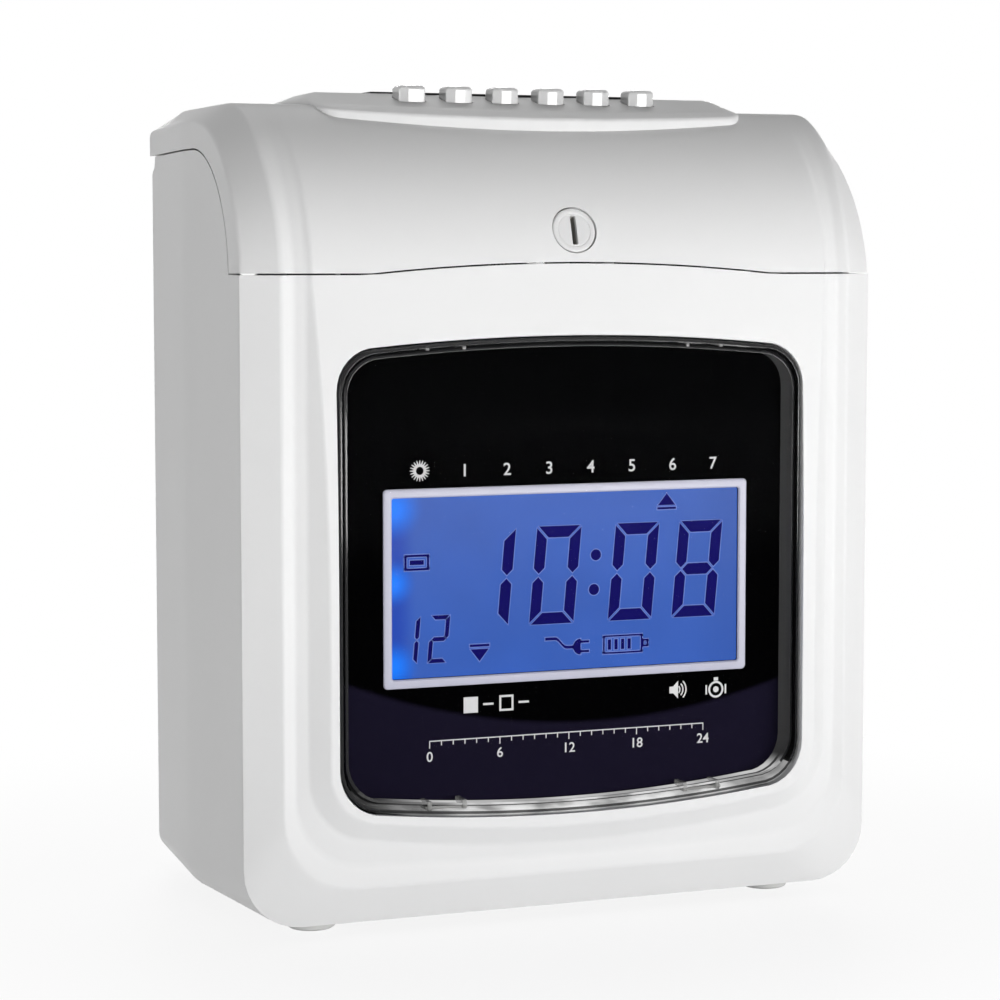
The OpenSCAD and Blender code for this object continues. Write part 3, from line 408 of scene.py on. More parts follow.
def raw_object(name, points, faces):
    """A mesh object from case millimetres, its normals turned outwards."""
    mesh = bpy.data.meshes.new(name)
    mesh.from_pydata(to_row(points).tolist(), [], faces)
    mesh.validate()
    mesh.update()
    obj = bpy.data.objects.new(name, mesh)
    bpy.context.scene.collection.objects.link(obj)
    bpy.context.view_layer.objects.active = obj
    obj.select_set(True)
    bpy.ops.object.mode_set(mode="EDIT")
    bpy.ops.mesh.select_all(action="SELECT")
    bpy.ops.mesh.normals_make_consistent(inside=False)
    bpy.ops.object.mode_set(mode="OBJECT")
    obj.select_set(False)
    return obj


def baked(obj):
    """The object's mesh with its modifiers applied."""
    graph = bpy.context.evaluated_depsgraph_get()
    mesh = bpy.data.meshes.new_from_object(obj.evaluated_get(graph), depsgraph=graph)
    mesh.name = obj.name
    obj.modifiers.clear()
    old = obj.data
    obj.data = mesh
    bpy.data.meshes.remove(old)


def piece(name, shape, body, slot, stands_for=(), cuts=(), edge=0.3, steps=2, limit=38.0, look=None):
    """A finished piece: holes cut, edges rounded, normals weighted by area, riding on its body.

    Its finish is the one that look names, or else the one with its slot's name.
    """
    obj = raw_object(name, *shape)
    for number, cut in enumerate(cuts):
        tool = raw_object(f"{name}_cut_{number}", *cut)
        hole = obj.modifiers.new("hole", "BOOLEAN")
        hole.operation = "DIFFERENCE"
        hole.solver = "EXACT"
        hole.object = tool
        baked(obj)
        bpy.data.objects.remove(tool)
    if edge:
        rounding = obj.modifiers.new("edge", "BEVEL")
        rounding.limit_method = "ANGLE"
        rounding.angle_limit = math.radians(limit)
        rounding.width = edge / 1000
        rounding.segments = steps
        rounding.use_clamp_overlap = True
        rounding.miter_outer = "MITER_ARC"
        baked(obj)
    for polygon in obj.data.polygons:
        polygon.use_smooth = True
    obj.data.set_sharp_from_angle(angle=math.radians(limit))
    weight = obj.modifiers.new("weight", "WEIGHTED_NORMAL")
    weight.keep_sharp = True
    obj.data.materials.clear()
    obj.data.materials.append(finish(look or slot))
    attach(obj, body)
    if stands_for:
        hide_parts(*stands_for)
    return obj


# Case and bezel

def case_rows(inset):
    """The case's body as rings over its depth, set in by a wall: front edge, seam curve, hinge, back."""
    seam_r, rise = SEAM_R - SEAM_GAP, SEAM_Z - SEAM_GAP - SEAM_CZ
    front = np.linspace(0.2, SEAM_CY - math.sqrt(seam_r**2 - rise**2), 5)
    turn = np.linspace(math.asin(rise / seam_r), math.pi / 2, 22)[1:]
    hook_r, hook = HINGE_R + 0.6, angles(4, 90, 5)
    back_r, roll = 3.0, angles(0, 90, 6)
    y = np.concatenate([
        front, SEAM_CY - seam_r * np.cos(turn), np.linspace(54, 108, 12),
        HINGE_Y - hook_r * np.cos(hook), [HINGE_Y + 0.2, HINGE_Y + 0.8],
        CASE_DEPTH - back_r + back_r * np.sin(roll),
    ])
    z = np.concatenate([
        np.full(5, SEAM_Z - SEAM_GAP), SEAM_CZ + seam_r * np.sin(turn),
        np.full(12, SKIRT_Z - SEAM_GAP), HINGE_Z - hook_r * np.sin(hook), np.full(8, SHELL_END),
    ])
    pull = np.concatenate([np.zeros(len(y) - 6), back_r * (1 - np.cos(roll))])
    radius = bent(y, lambda v: 17 - 9 * v / FOLD_Y, lambda v: 8 - 2 * (v - FOLD_Y) / (CASE_DEPTH - FOLD_Y),
                  FOLD_Y, 8.0)
    depth = y if not inset else np.where(y > 111, 111 + (y - 111) * (8 - inset) / 8, y)
    return np.stack([
        open_ring(side_half(y[i]) - pull[i] - inset, pull[i] + inset, 0,
                  max(radius[i] - pull[i] - inset, 1.5), z[i], depth[i])
        for i in range(len(y))
    ])


def back_wall(ring):
    """The flat back: each level of the last ring joined across to its mirror."""
    side = SIDE_COUNT + ARC_COUNT
    left = ring[: side + 1]
    t = np.linspace(0, 1, LOW_COUNT + 1)[None, :, None]
    return left[:, None] * (1 - t) + (left * np.array([-1.0, 1.0, 1.0]))[:, None] * t


def back_cuts():
    """What opens the back wall: screw holes, wall keyholes, vents and the power inlet."""
    circle = np.arange(40) * 2 * math.pi / 40
    cuts = []
    for s in (-1, 1):
        for z in SCREW_ZS:
            cuts.append(lofted(turned([(3.6, y) for y in BACK_CUT], (s * SCREW_X, 0, z), (0, 1, 0), 36)))
        entry, neck = round_points(0, 0, 4.2, circle), round_rect(2.25, 4.6, 2.2)
        cuts.append(prism(front_ring, entry, BACK_CUT, (s * KEYHOLE_X, KEYHOLE_Z)))
        cuts.append(prism(front_ring, neck, BACK_CUT, (s * KEYHOLE_X, KEYHOLE_Z + 4.6)))
    for i in range(9):
        cuts.append(prism(front_ring, round_rect(1.5, 11, 1.45), BACK_CUT, (27.5 + 6 * i, 33)))
    cuts.append(prism(front_ring, round_rect(10.4, 6.4, 0.8), BACK_CUT, (-64, 52)))
    return cuts


def knuckle(x0, x1, lower):
    """A hinge knuckle and its web: a circle that runs down into the wall, drawn out along x."""
    arc = round_points(HINGE_Y, HINGE_Z, HINGE_R, angles(0, 235, 28))
    outline = np.concatenate([arc, [[WEB_Y, HINGE_Z - HINGE_R], [WEB_Y, lower], [CASE_DEPTH, lower]]])
    return prism(side_ring, outline, (x0, x1))


def build_case():
    """The case's shell, and on it its hinge knuckles, screw tubes, board bosses and foot seats."""
    sizes = bpy.context.scene.clock_sizes
    outer, inner = case_rows(0), case_rows(sizes.wall * 1000)
    patches = [outer, back_wall(outer[-1])], [inner, back_wall(inner[-1])]
    faces = [grid_faces(*outer.shape[:2]), grid_faces(SIDE_COUNT + ARC_COUNT + 1, LOW_COUNT + 1)]
    piece("case_shell", walled(*patches, faces), "base", "case_white", ["rear_case"], back_cuts(),
          sizes.edge * 1000)
    tube = [(5, 20.3), (5, 117.2), (3.6, 117.2), (3.6, 24.2), (1.7, 24.0), (1.7, 20.3)]
    bits = []
    for s in (-1, 1):
        bits.append(knuckle(*sorted((s * KNUCKLES[0], s * KNUCKLES[1])), HINGE_Z - HINGE_R - 1.8))
        bits += [post(tube, s * SCREW_X, z, closed=True) for z in SCREW_ZS]
        bits += [post([(3.5, 109.7), (3.7, 117.0)], 16 + s * 50, z) for z in (74, 160)]
        bits += [stud([(4, 1.8), (4, 5.8)], s * 56, y) for y in (26, 62)]
    piece("case_knuckles_and_posts", several(bits), "base", "case_white", ["rear_case"])


def bezel_rows(inset):
    """The bezel's open rings from crease to face, and the closed rings from face to window tube."""
    top = SEAM_Z - SEAM_GAP
    d = inset
    rings = [
        open_ring(HALF_W - d, d, 0, 17 - d, top, 0.0),
        open_ring(LINE_XS[0] - 0.7 * d, 11 + 0.8 * d, 0, 21 - d, top, -6.3 + 0.9 * d),
        open_ring(LINE_XS[1] - 0.2 * d, 16 + 0.2 * d, 1.4, 20, top, -5.3 + d),
        open_ring(LINE_XS[2] - 0.3 * d, 20 + 0.3 * d, 4.5, 19, top, -6.4 + d),
        open_ring(75.6 - 0.6 * d, 25.4 + 0.6 * d, 4.5, 15, top, FACE_Y + d),
        open_ring(74.6 - 0.6 * d, 26.5 + 0.6 * d, 4.5, 14.4, top, FACE_Y + d),
    ]
    for ring in rings[4:]:
        lean = face_y(ring[:, 2])
        side = np.sign(ring[:, 0]) * (lean - FACE_Y) * 5.2 / 4.3
        ring[:, 0] += np.where(np.abs(ring[:, 0]) > 60, side, 0)
        ring[:, 1] = lean + d
    open_part = soften(rings, [0, 0.9, 1.2, 0.9, 0.9, 0])
    edge = open_part[-1]
    x = np.linspace(edge[-1, 0], edge[0, 0], 26)[1:-1]
    z = top + seam_rise(x)
    loop = np.concatenate([edge, np.stack([x, face_y(z) + d, z], 1)])
    grow = 0.35 + (2.0 / WALL) * d
    window = drawn_in(window_ring(-grow, 0), right=1.6, top=0.5)
    window[:, 1] = face_y(window[:, 2]) + d
    deep = drawn_in(window_ring(-grow, SHELF_Y + (2.0 if inset else 0.0)), right=1.6, top=0.5)
    rows = [loop]
    for t in (0.1, 0.35, 0.65, 0.9):
        row = loop * (1 - t) + window * t
        row[:, 1] = face_y(row[:, 2]) + d
        rows.append(row)
    return open_part, soften(rows + [window, deep], [0, 0, 0, 0, 0, 0.7, 0])


def build_bezel():
    """The bezel's shell, and on it its screw posts, panel pegs and the catch of the lid's lock."""
    sizes = bpy.context.scene.clock_sizes
    outer, inner = bezel_rows(0), bezel_rows(sizes.wall * 1000)
    faces = [grid_faces(*outer[0].shape[:2]), grid_faces(*outer[1].shape[:2], around=True)]
    piece("front_shell", walled(outer, inner, faces), "base", "bezel_white", ["front_bezel"], (),
          sizes.edge * 875)
    bits = []
    for s in (-1, 1):
        bits += [post([(4, -3.6), (4, 20), (1.3, 20), (1.3, 6)], s * SCREW_X, z) for z in SCREW_ZS]
        bits += [post([(2.8, 1.5), (2.8, 5.8)], s * 67.2, z) for z in (54.8, 138.8)]
    shelf, hook = 176.65, 198.4
    bits.append(slab(-40, 40, -6.4, 5, shelf, shelf + 2))
    bits += [slab(x, 16.2, 3.5, 10.5, z, hook) for x, z in ((13.2, shelf), (8.8, hook - 2.4))]
    piece("front_posts_and_catch", several(bits), "base", "bezel_white", ["front_bezel"], (), 0.25)


# Lid

def top_line(y, inset):
    """Height of the lid's flat top at depth y, falling away behind the console."""
    fall = (TOP_Z - REAR_TOP_Z) / (CASE_DEPTH - SLOPE_Y)
    return bent(np.asarray(y, float), lambda v: TOP_Z + 0 * v, lambda v: TOP_Z - fall * (v - SLOPE_Y),
                SLOPE_Y, 7.0) - inset


def quarter(start, centre, radius, share):
    """Side view of an arc from a height to the top of its circle, as y and z for shares from 0 to 1."""
    first = math.asin((start - centre[1]) / radius)
    turn = first + (math.pi / 2 - first) * share
    return centre[0] - radius * np.cos(turn), centre[1] + radius * np.sin(turn)


def face_path(x, s, inset):
    """The lid's face at x in side view as s goes 0 to 1: an arc from the seam, a parabola, then level."""
    radius = FACE_R - inset
    start = np.arcsin((LID_LOW + seam_rise(x) - ARC_Z) / radius)
    stop = math.radians(65.4)
    angle = start + (stop - start) * np.clip(s / BEND_START, 0, 1)
    y1, z1 = ARC_Y - radius * math.cos(stop), ARC_Z + radius * math.sin(stop)
    top = TOP_Z - inset
    y2 = y1 + (top - z1) * math.tan(stop)
    y3 = y2 + 7.0
    t = np.clip((s - BEND_START) / (BEND_END - BEND_START), 0, 1)
    bend = s > BEND_START
    y = np.where(bend, (1 - t) ** 2 * y1 + 2 * t * (1 - t) * y2 + t * t * y3, ARC_Y - radius * np.cos(angle))
    z = np.where(bend, (1 - t) ** 2 * z1 + 2 * t * (1 - t) * top + t * t * top, ARC_Z + radius * np.sin(angle))
    level = np.clip((s - BEND_END) / (1 - BEND_END), 0, 1)
    return np.where(s > BEND_END, y3 + (ARC_Y - y3) * level, y), z


def lid_rows(inset):
    """The lid as curves that run from the front seam to the back, side by side from left to right."""
    d = inset
    s = np.linspace(0, 1, 34)
    t = np.linspace(0, 1, 15)[1:]
    fade = 1 - smooth(s / 0.85)
    back_r = 2.0

    def ends(y_arc, z_arc, z_back, x_arc, x_back):
        y = np.concatenate([y_arc, y_arc[-1] + (CASE_DEPTH - back_r - d - y_arc[-1]) * t])
        z = np.concatenate([z_arc, z_back(y[len(s):])])
        x = np.concatenate([x_arc, x_back(y[len(s):])])
        return np.stack([x, y, z], 1)

    def along_side(y, z, z_back):
        return ends(y, z, z_back, side_half(y) - d, lambda v: side_half(v) - d)

    low = SKIRT_Z + SEAM_GAP
    y, z = quarter(LID_LOW, (SEAM_CY, SEAM_CZ), SEAM_R + SEAM_GAP, s)
    edge = along_side(y, z, lambda v: np.full_like(v, low))
    r = CREASE_R - d
    y, z = quarter(LID_LOW, (CREASE_Y, CREASE_Z), r, s)
    crease = along_side(y - 0.39 * (1 - s) ** 3, z, lambda v: CREASE_Z + r - 0.3 * (v - CREASE_Y) / 68)

    def on_face(x_front, x_top, x_rear, shrink):
        y, z = face_path(x_front, s, d)
        k = 1 - shrink * fade / FACE_R
        y = ARC_Y + (y - ARC_Y) * k
        z = ARC_Z + (z - ARC_Z) * k
        z[0] = LID_LOW + seam_rise(x_front)
        x = x_front + (x_top - x_front) * smooth(s / 0.95)
        return ends(y, z, lambda v: top_line(v, d), x,
                    lambda v: x_top + (x_rear - x_top) * (v - ARC_Y) / (CASE_DEPTH - ARC_Y))

    lines = zip((*LINE_XS, 79.4), (91.0, 86.2, 82.0, 80.2), (90.0, 85.6, 81.6, 80.0), (0.95, 2.0, 1.1, 0.0))
    half = [on_face(x - 0.4 * d, x_top - 0.4 * d, x_rear - d, shrink) for x, x_top, x_rear, shrink in lines]
    half += [on_face(x, x, x, 0.0) for x in (72, RISE_HALF, 52, 42, 32, 22, 12)]
    centre = on_face(0, 0, 0, 0.0)
    sides = [edge + (crease - edge) * f for f in np.linspace(0, 1, 6)]
    right = sides[:-1] + [crease] + half
    sizes = [0] * (len(sides) - 1) + [1.4, 1.2, 0.9, 0.9, 0.7] + [0] * 8
    mirror = np.array([-1.0, 1.0, 1.0])
    curves = [c * mirror for c in right] + [centre] + right[::-1]
    grid = soften(curves, sizes + sizes[::-1][1:], 4)
    corner = len(sides) + 1
    last = grid[:, -1]
    share = np.clip((last[:, 2] - low) / (last[corner, 2] - low), 0, 1)
    rows = [grid]
    for angle in angles(0, 90, 5)[1:]:
        row = last.copy()
        row[:, 1] += back_r * math.sin(angle)
        row[:, 2] -= back_r * (1 - math.cos(angle)) * share
        rows.append(row[:, None])
    grid = np.concatenate(rows, 1)
    last = grid[:, -1]
    side = last[corner::-1]
    drop = (side[0, 2] - side[:, 2]) / (side[0, 2] - low)
    width = side[:, 0] / side[0, 0]
    top = last[corner: len(last) - corner]
    back = np.stack([
        top * np.array([w, 1, 1]) - np.stack([0 * top[:, 0], 0 * top[:, 0], (top[:, 2] - low) * f], 1)
        for f, w in zip(drop, width)
    ])
    return grid, back


def lock_frame(height):
    """The point on the lock's axis at a distance from the centre of the lid's curve."""
    axis = np.array([0.0, -math.cos(LOCK_TILT), math.sin(LOCK_TILT)])
    return np.array([0.0, ARC_Y, ARC_Z]) + axis * height, axis


def barrel(x0, x1):
    """The lid's part of the hinge: a circle with a web up into the lid's back, drawn out along x."""
    arc = round_points(HINGE_Y, HINGE_Z, HINGE_R, angles(-235, 0, 28))
    outline = np.concatenate([arc, [[CASE_DEPTH - 0.3, HINGE_Z + 2.6], [WEB_Y, HINGE_Z + 2.6]]])
    return prism(side_ring, outline, (x0, x1))


def build_lid():
    """The lid's shell, open for lock, keys, card slot and knuckles, and its hinge barrels and board posts."""
    sizes = bpy.context.scene.clock_sizes
    outer, inner = lid_rows(0), lid_rows(sizes.wall * 1000)
    faces = [grid_faces(*outer[0].shape[:2]), grid_faces(*outer[1].shape[:2])]
    centre, axis = lock_frame(0)
    bore = LOCK_D / 2 + 0.3
    cuts = [lofted(turned([(bore, 47), (bore, 60)], centre, axis, 64)),
            slab(-43.6, 43.6, 27.2, 39.2, *LID_CUT),
            slab(-45.15, 45.15, CARD_Y - 3.8, CARD_Y + 3.8, *LID_CUT)]
    bits = [barrel(-KNUCKLES[0] + 0.4, KNUCKLES[0] - 0.4)]
    for s in (-1, 1):
        x0, x1 = sorted((s * (KNUCKLES[0] - 0.4), s * (KNUCKLES[1] + 0.4)))
        cuts.append(slab(x0, x1, HINGE_Y - HINGE_R, 125, 210, HINGE_Z + HINGE_R + 1.4))
        bits.append(barrel(*sorted((s * (KNUCKLES[1] + 0.4), s * (BACK_HALF - 1.6)))))
        for y, top in ((24, 227.0), (39.8, float(top_line(39.8, WALL)))):
            bits.append(stud([(1.8, 222.7), (1.8, top)], s * 44.6, y, 24))
    piece("lid_shell", walled(outer, inner, faces), "lid", "case_white", ["lid_cover"], cuts, sizes.edge * 875)
    piece("lid_barrels_and_posts", several(bits), "lid", "case_white", ["lid_cover"])


# Console, keys and card slot

def lid_height(y):
    """Height of the lid's outside over its middle at depth y."""
    s = np.linspace(0, 1, 200)
    py, pz = face_path(0, s, 0)
    return np.where(np.asarray(y) < ARC_Y, np.interp(y, py, pz), top_line(y, 0))


def console_ring(inset):
    """The console's outline: a bowed front edge, round corners, straight sides and back."""
    w, r = CONSOLE_HALF - inset, 7.0 - inset / 2
    x = np.linspace(0, w - r, 13)
    bow = 4.4 / (CONSOLE_HALF - 7.0) ** 2
    front = np.stack([x, CONSOLE_FRONT + bow * x * x + inset], 1)
    yf, yb = front[-1, 1], CONSOLE_BACK - inset
    corner = round_points(w - r, yf + r, r, angles(-90, 0, 7)[1:])
    y = np.linspace(yf + r, yb - r, 16)[1:]
    side = np.stack([np.full_like(y, w), y], 1)
    rear = round_points(w - r, yb - r, r, angles(0, 90, 7)[1:])
    back = np.stack([np.linspace(w - r, 0, 9)[1:], np.full(8, yb)], 1)
    right = np.concatenate([front, corner, side, rear, back])
    return np.concatenate([right, right[-2:0:-1] * np.array([-1.0, 1.0])])


def wall_height(y):
    """Top of the console's upright wall at depth y."""
    return TOP_Z + np.interp(y, [CONSOLE_FRONT, CREST_Y - 18, CREST_Y - 2, CREST_Y + 16, CONSOLE_BACK],
                             [-3.8, -1.4, 1.8, 1.8, 0.8])


def deck_height(y):
    """Height of the console's deck at depth y: rising to the card slot, then falling a little."""
    return CREST_Z + np.interp(y, [CONSOLE_FRONT + 3.5, CREST_Y, CREST_Y + 16, CONSOLE_BACK - 3.5],
                               [-5.4, 0, -0.2, -1.9])


def stood(ring, height):
    """A ring in x and y lifted to the height that a function gives for its depth."""
    return np.stack([ring[:, 0], ring[:, 1], height(ring[:, 1])], 1)


def build_console():
    """The console: a foot on the lid, an upright wall and a deck, with wells for keys and card slot."""
    foot, deck = console_ring(0), console_ring(3.5)
    middle = np.array([0.0, CARD_Y])

    def on_lid(y):
        return lid_height(y) + 0.05

    rows = [stood(foot, on_lid), stood(foot, wall_height), stood(deck, deck_height)]
    rows += [stood(middle + (deck - middle) * k, deck_height) for k in (0.85, 0.6, 0.35, 0.12)]
    under = [stood(middle + (foot - middle) * k, on_lid) for k in (0.12, 0.4, 0.7)]
    shape = lofted(np.concatenate([np.stack(under), soften(rows, [0, 1.0, 1.4, 0, 0, 0, 0])]))
    cuts = [prism(flat_ring, round_rect(4.4, 3.8, 0.9), DECK_CUT, at) for at in BUTTONS]
    cuts.append(prism(flat_ring, round_rect(45.8, 8.1, 1.0), (234.95, DECK_CUT[1]), (0, PLATE_Y)))
    cuts.append(prism(flat_ring, round_rect(45.15, 3.8, 0.8), DECK_CUT, (0, CARD_Y)))
    piece("console_deck", shape, "lid", "bezel_white", ["console"], cuts, 0.25)


def build_slot():
    """The card slot's surround: a flat plate round a mouth that narrows into a tube."""
    plate, tube = round_rect(45.65, 7.95, 0.9), round_rect(44.9, 3.55, 0.7)
    hole, mouth = round_rect(43.75, 2.4, 0.4), round_rect(44.6, 4.0, 0.8)
    rings = [flat_ring(outline, z, (0, y)) for outline, z, y in (
        (plate, 235.1, PLATE_Y), (plate, 236.65, PLATE_Y), (mouth, 236.65, CARD_Y), (hole, 232.7, CARD_Y),
        (hole, 224.0, CARD_Y), (tube, 224.0, CARD_Y), (tube, 235.1, CARD_Y))]
    piece("slot_surround", lofted(rings, closed=True), "lid", "part_black", ["card_slot_surround"], (), 0.3, 3,
          look="slot_black")


def key_outline(half_x, half_y, radius, lead):
    """A key's outline: round corners, and a front in three facets of which the middle one leads."""
    ring = round_rect(half_x, half_y, radius)
    ring[12:24, 1] += lead
    flat = half_x - radius
    middle, strip = 0.40 * flat, 0.04 * flat
    slope = strip * lead / (flat - middle)
    front = np.array([[-middle - strip, -half_y + slope], [-middle + strip, -half_y],
                      [middle - strip, -half_y], [middle + strip, -half_y + slope]])
    return np.concatenate([ring[:18], front, ring[18:]])


def build_keys():
    """The key caps: each a stem, a flange and a cap with a faceted front and a crowned top."""
    levels = [
        (1.5, 1.5, 1.48, 0, 227.35), (1.5, 1.5, 1.48, 0, 229.2), (5.1, 4.5, 1.2, 0, 229.2),
        (5.1, 4.5, 1.2, 0, 230.2), (4.1, 3.1, 0.5, 0.6, 230.2), (4.1, 3.5, 0.5, 0.6, 237.3),
        (3.5, 2.9, 0.5, 0.5, 238.0), (2.2, 1.7, 0.4, 0.4, BUTTON_TOP),
    ]
    for i, at in enumerate(BUTTONS):
        rings = [flat_ring(key_outline(*sizes), z, at) for *sizes, z in levels]
        rings = soften(rings, [0, 0, 0, 0, 0, 0.4, 0.4, 0], 3)
        piece(f"key_cap_{i + 1}", lofted(rings), f"key_{i + 1}", "button_white", [f"button_{i + 1}"], (), 0.15)


def build_lock():
    """The lock's plug: a face with a raised ring and a keyway, and the stem behind it."""
    centre, axis = lock_frame(0)
    top, rim = FACE_R - 0.25, LOCK_D / 2
    face = [(rim - 0.1, top - 1.4), (rim - 0.1, top - 0.25), (rim - 0.5, top), (rim - 1.5, top),
            (rim - 1.75, top - 0.25), (rim - 1.95, top - 0.1), (0.4, top - 0.05)]
    stem = [(4.5, top - 13.7), (4.5, top - 1.45), (3.0, top - 1.45)]
    up = np.array([0.0, math.sin(LOCK_TILT), math.cos(LOCK_TILT)])
    key = round_rect(0.85, 4.3, 0.4)
    flat = key[:, :1] * np.array([1.0, 0.0, 0.0]) + key[:, 1:] * up
    way = lofted([centre + axis * h + flat for h in (top - 7, top + 3)])
    for name, profile, count, slot, edge in (("lock_face", face, 72, "lock_face", 0.1),
                                             ("lock_stem", stem, 48, "lock_metal", 0.2)):
        piece(name, lofted(turned(profile, centre, axis, count)), "lock", slot, ["lock_plug"], [way], edge)


# Window and display

def build_window():
    """The clear door: a front pane whose rolled edge runs back into a tapering wall, and its clips."""
    outside = [drawn_in(window_ring(inset, y), right=1.6, top=0.5) for inset, y in (
        (1.1, WINDOW_Y), (0.3, WINDOW_Y + 0.3), (0, WINDOW_Y + 1.2), (0.6, PANEL_Y - 0.02))]
    inside = [drawn_in(window_ring(4.5, PANEL_Y - 0.02), left=-0.9, top=-1.8, low=-1.8)]
    inside += [drawn_in(window_ring(inset, y), right=0.5) for inset, y in (
        (1.9, WALL_FRONT_Y), (2.3, WINDOW_Y + 2.1), (3.2, WINDOW_Y + 1.8))]
    door = piece("window_door", lofted(outside + inside), "base", "clear_cover", ["window_cover"], (), 0.25, 3,
                 50, "clear_edge")
    for look in ("clear_pane", "clear_wall", "clear_streak"):
        door.data.materials.append(finish(look))
    wall_front, rim_front = (to_row((0, y, 0))[1] for y in (WALL_FRONT_Y, WINDOW_Y + 1.4))
    low, middle = (to_row((0, 0, z))[2] for z in (WINDOW_LOW + 9, (WINDOW_LOW + WINDOW_TOP) / 2))
    # Large faces take the pane; the wall's inner side takes the painted reflection and painted highlights;
    # faces of the lower rim take the painted highlight line
    for polygon in door.data.polygons:
        centre, normal = polygon.center, polygon.normal
        inwards = normal.x * centre.x + normal.z * (centre.z - middle) < 0
        if polygon.area > 0.004:
            polygon.material_index = 1
        elif inwards and normal.y < 0 and centre.y > wall_front:
            polygon.material_index = 2
        elif centre.z < low and centre.y > rim_front and (normal.y > 0.9 or not inwards):
            polygon.material_index = 3
    clips = []
    for s in (-1, 1):
        clips.append(slab(s * 40 - 6.5, s * 40 + 6.5, -7.2, -4.2, WINDOW_LOW + 3.0, WINDOW_LOW + 4.0))
        for x in (s * 40 - 6.0, s * 40 + 4.6):
            clips.append(slab(x, x + 1.4, -7.6, -1.3, WINDOW_LOW + 2.7, WINDOW_LOW + 5.4))
    piece("window_clips_low", several(clips), "base", "clear_cover", ["window_cover"], (), 0.3, 3,
          look="clear_clip")
    clips = [slab(x, x + 1.1, -7.4, -1.4, WINDOW_TOP - 4.0, WINDOW_TOP - 2.7)
             for x in (-46.2, -35.2, 34.3, 45.0)]
    piece("window_clips_top", several(clips), "base", "clear_cover", ["window_cover"], (), 0.2,
          look="smoke_clip")


def build_panel():
    """The black panel behind the window, the raised frame of the display and the display's glass."""
    middle = (0, LCD_Z)
    hole = prism(front_ring, round_rect(LCD_HALF_W, LCD_HALF_H, 0.6), (-6, 6), middle)
    rings = [window_ring(0.45, SHELF_Y - 0.02), window_ring(0.45, PANEL_Y)]
    piece("panel_black", lofted(rings), "base", "panel_black", ["display_panel"], [hole], 0.15)
    rings = [
        front_ring(round_rect(LCD_HALF_W + grow, LCD_HALF_H + grow, radius), PANEL_Y - depth, middle)
        for grow, radius, depth in ((2.6, 1.2, 0.02), (2.6, 1.2, 0.45), (2.1, 1.0, 0.8), (0.45, 0.8, 0.8),
                                    (0, 0.6, 0.4), (0, 0.6, 0.02))
    ]
    piece("lcd_surround", lofted(rings, closed=True), "base", "frame_lilac", ["lcd_frame"], (), 0.1)
    glass = prism(front_ring, round_rect(LCD_HALF_W - 0.1, LCD_HALF_H - 0.1, 0.5), (1.8, LCD_Y), middle)
    piece("lcd_screen", glass, "base", "lcd_blue", ["lcd_glass"], (), 0)


# The bars that each digit lights, a to g clockwise from the top with g in the middle
SEGMENTS = {"0": "abcdef", "1": "bc", "2": "abged", "3": "abgcd", "4": "fgbc", "5": "afgcd", "6": "afgedc",
            "7": "abc", "8": "abcdefg", "9": "abgfcd"}


def segment(letter, w, h, s, g):
    """One bar of a seven-bar digit, w by h with stroke s and gap g, its ends cut at 45 degrees."""
    m = h / 2
    upright = np.array([[0, h - g], [s, h - s - g], [s, m + s / 2 + g], [s / 2, m + g], [0, m + s / 2 + g]])
    level = np.array([[g, h], [w - g, h], [w - s - g, h - s], [s + g, h - s]])
    cross = np.array([[s / 2 + g, m], [s + g, m + s / 2], [w - s - g, m + s / 2], [w - s / 2 - g, m],
                      [w - s - g, m - s / 2], [s + g, m - s / 2]])
    mirror_x, mirror_z = np.array([-1, 1]), np.array([1, -1])
    flips = {
        "a": level, "g": cross, "f": upright, "d": level * mirror_z + [0, h],
        "b": upright * mirror_x + [w, 0], "e": upright * mirror_z + [0, h],
        "c": upright * mirror_x * mirror_z + [w, h],
    }
    return flips[letter]


def digit(text, left, low, w, h, s, slant):
    """A seven-bar digit as outlines, leaning to the right by the slant."""
    outlines = []
    for letter in SEGMENTS[text]:
        p = segment(letter, w, h, s, 0.035 * h / 2)
        outlines.append(np.stack([left + p[:, 0] + slant * p[:, 1], low + p[:, 1]], 1))
    return outlines


def disc(x, z, radius, count=28):
    """A circle as an outline."""
    return round_points(x, z, radius, np.arange(count) * 2 * math.pi / count)


def hoop(x, z, outer, inner):
    """A flat ring as 24 outlines side by side."""
    circle = disc(0, 0, 1.0, 24)
    pairs = [circle[[k, (k + 1) % 24]] for k in range(24)]
    return [np.concatenate([pair * outer, pair[::-1] * inner]) + [x, z] for pair in pairs]


def frame_bars(x0, x1, z0, z1, t):
    """A rectangular frame as four bars."""
    return [bar(x0, x1, z0, z0 + t), bar(x0, x1, z1 - t, z1), bar(x0, x0 + t, z0 + t, z1 - t),
            bar(x1 - t, x1, z0 + t, z1 - t)]


def grown(outline, by):
    """An outline with each edge moved outwards: a corner moves along the sum of its edges' normals."""
    following = np.roll(outline, -1, axis=0)
    ahead = following - outline
    length = np.maximum(np.linalg.norm(ahead, axis=1, keepdims=True), 1e-9)
    normal = np.stack([ahead[:, 1], -ahead[:, 0]], 1) / length
    turn = np.sign(np.sum(outline[:, 0] * following[:, 1] - outline[:, 1] * following[:, 0]))
    both = normal + np.roll(normal, 1, axis=0)
    share = np.maximum(np.sum(both * normal, axis=1, keepdims=True), 0.5)
    return outline + turn * by * both / share


def marks(name, outlines, y, look, slot):
    """Thin raised marks: each outline stood upright at depth y and drawn back by its thickness."""
    shape = several([prism(front_ring, outline, (y + 0.05, y)) for outline in outlines])
    piece(name, shape, "base", slot, (), (), 0, look=look)


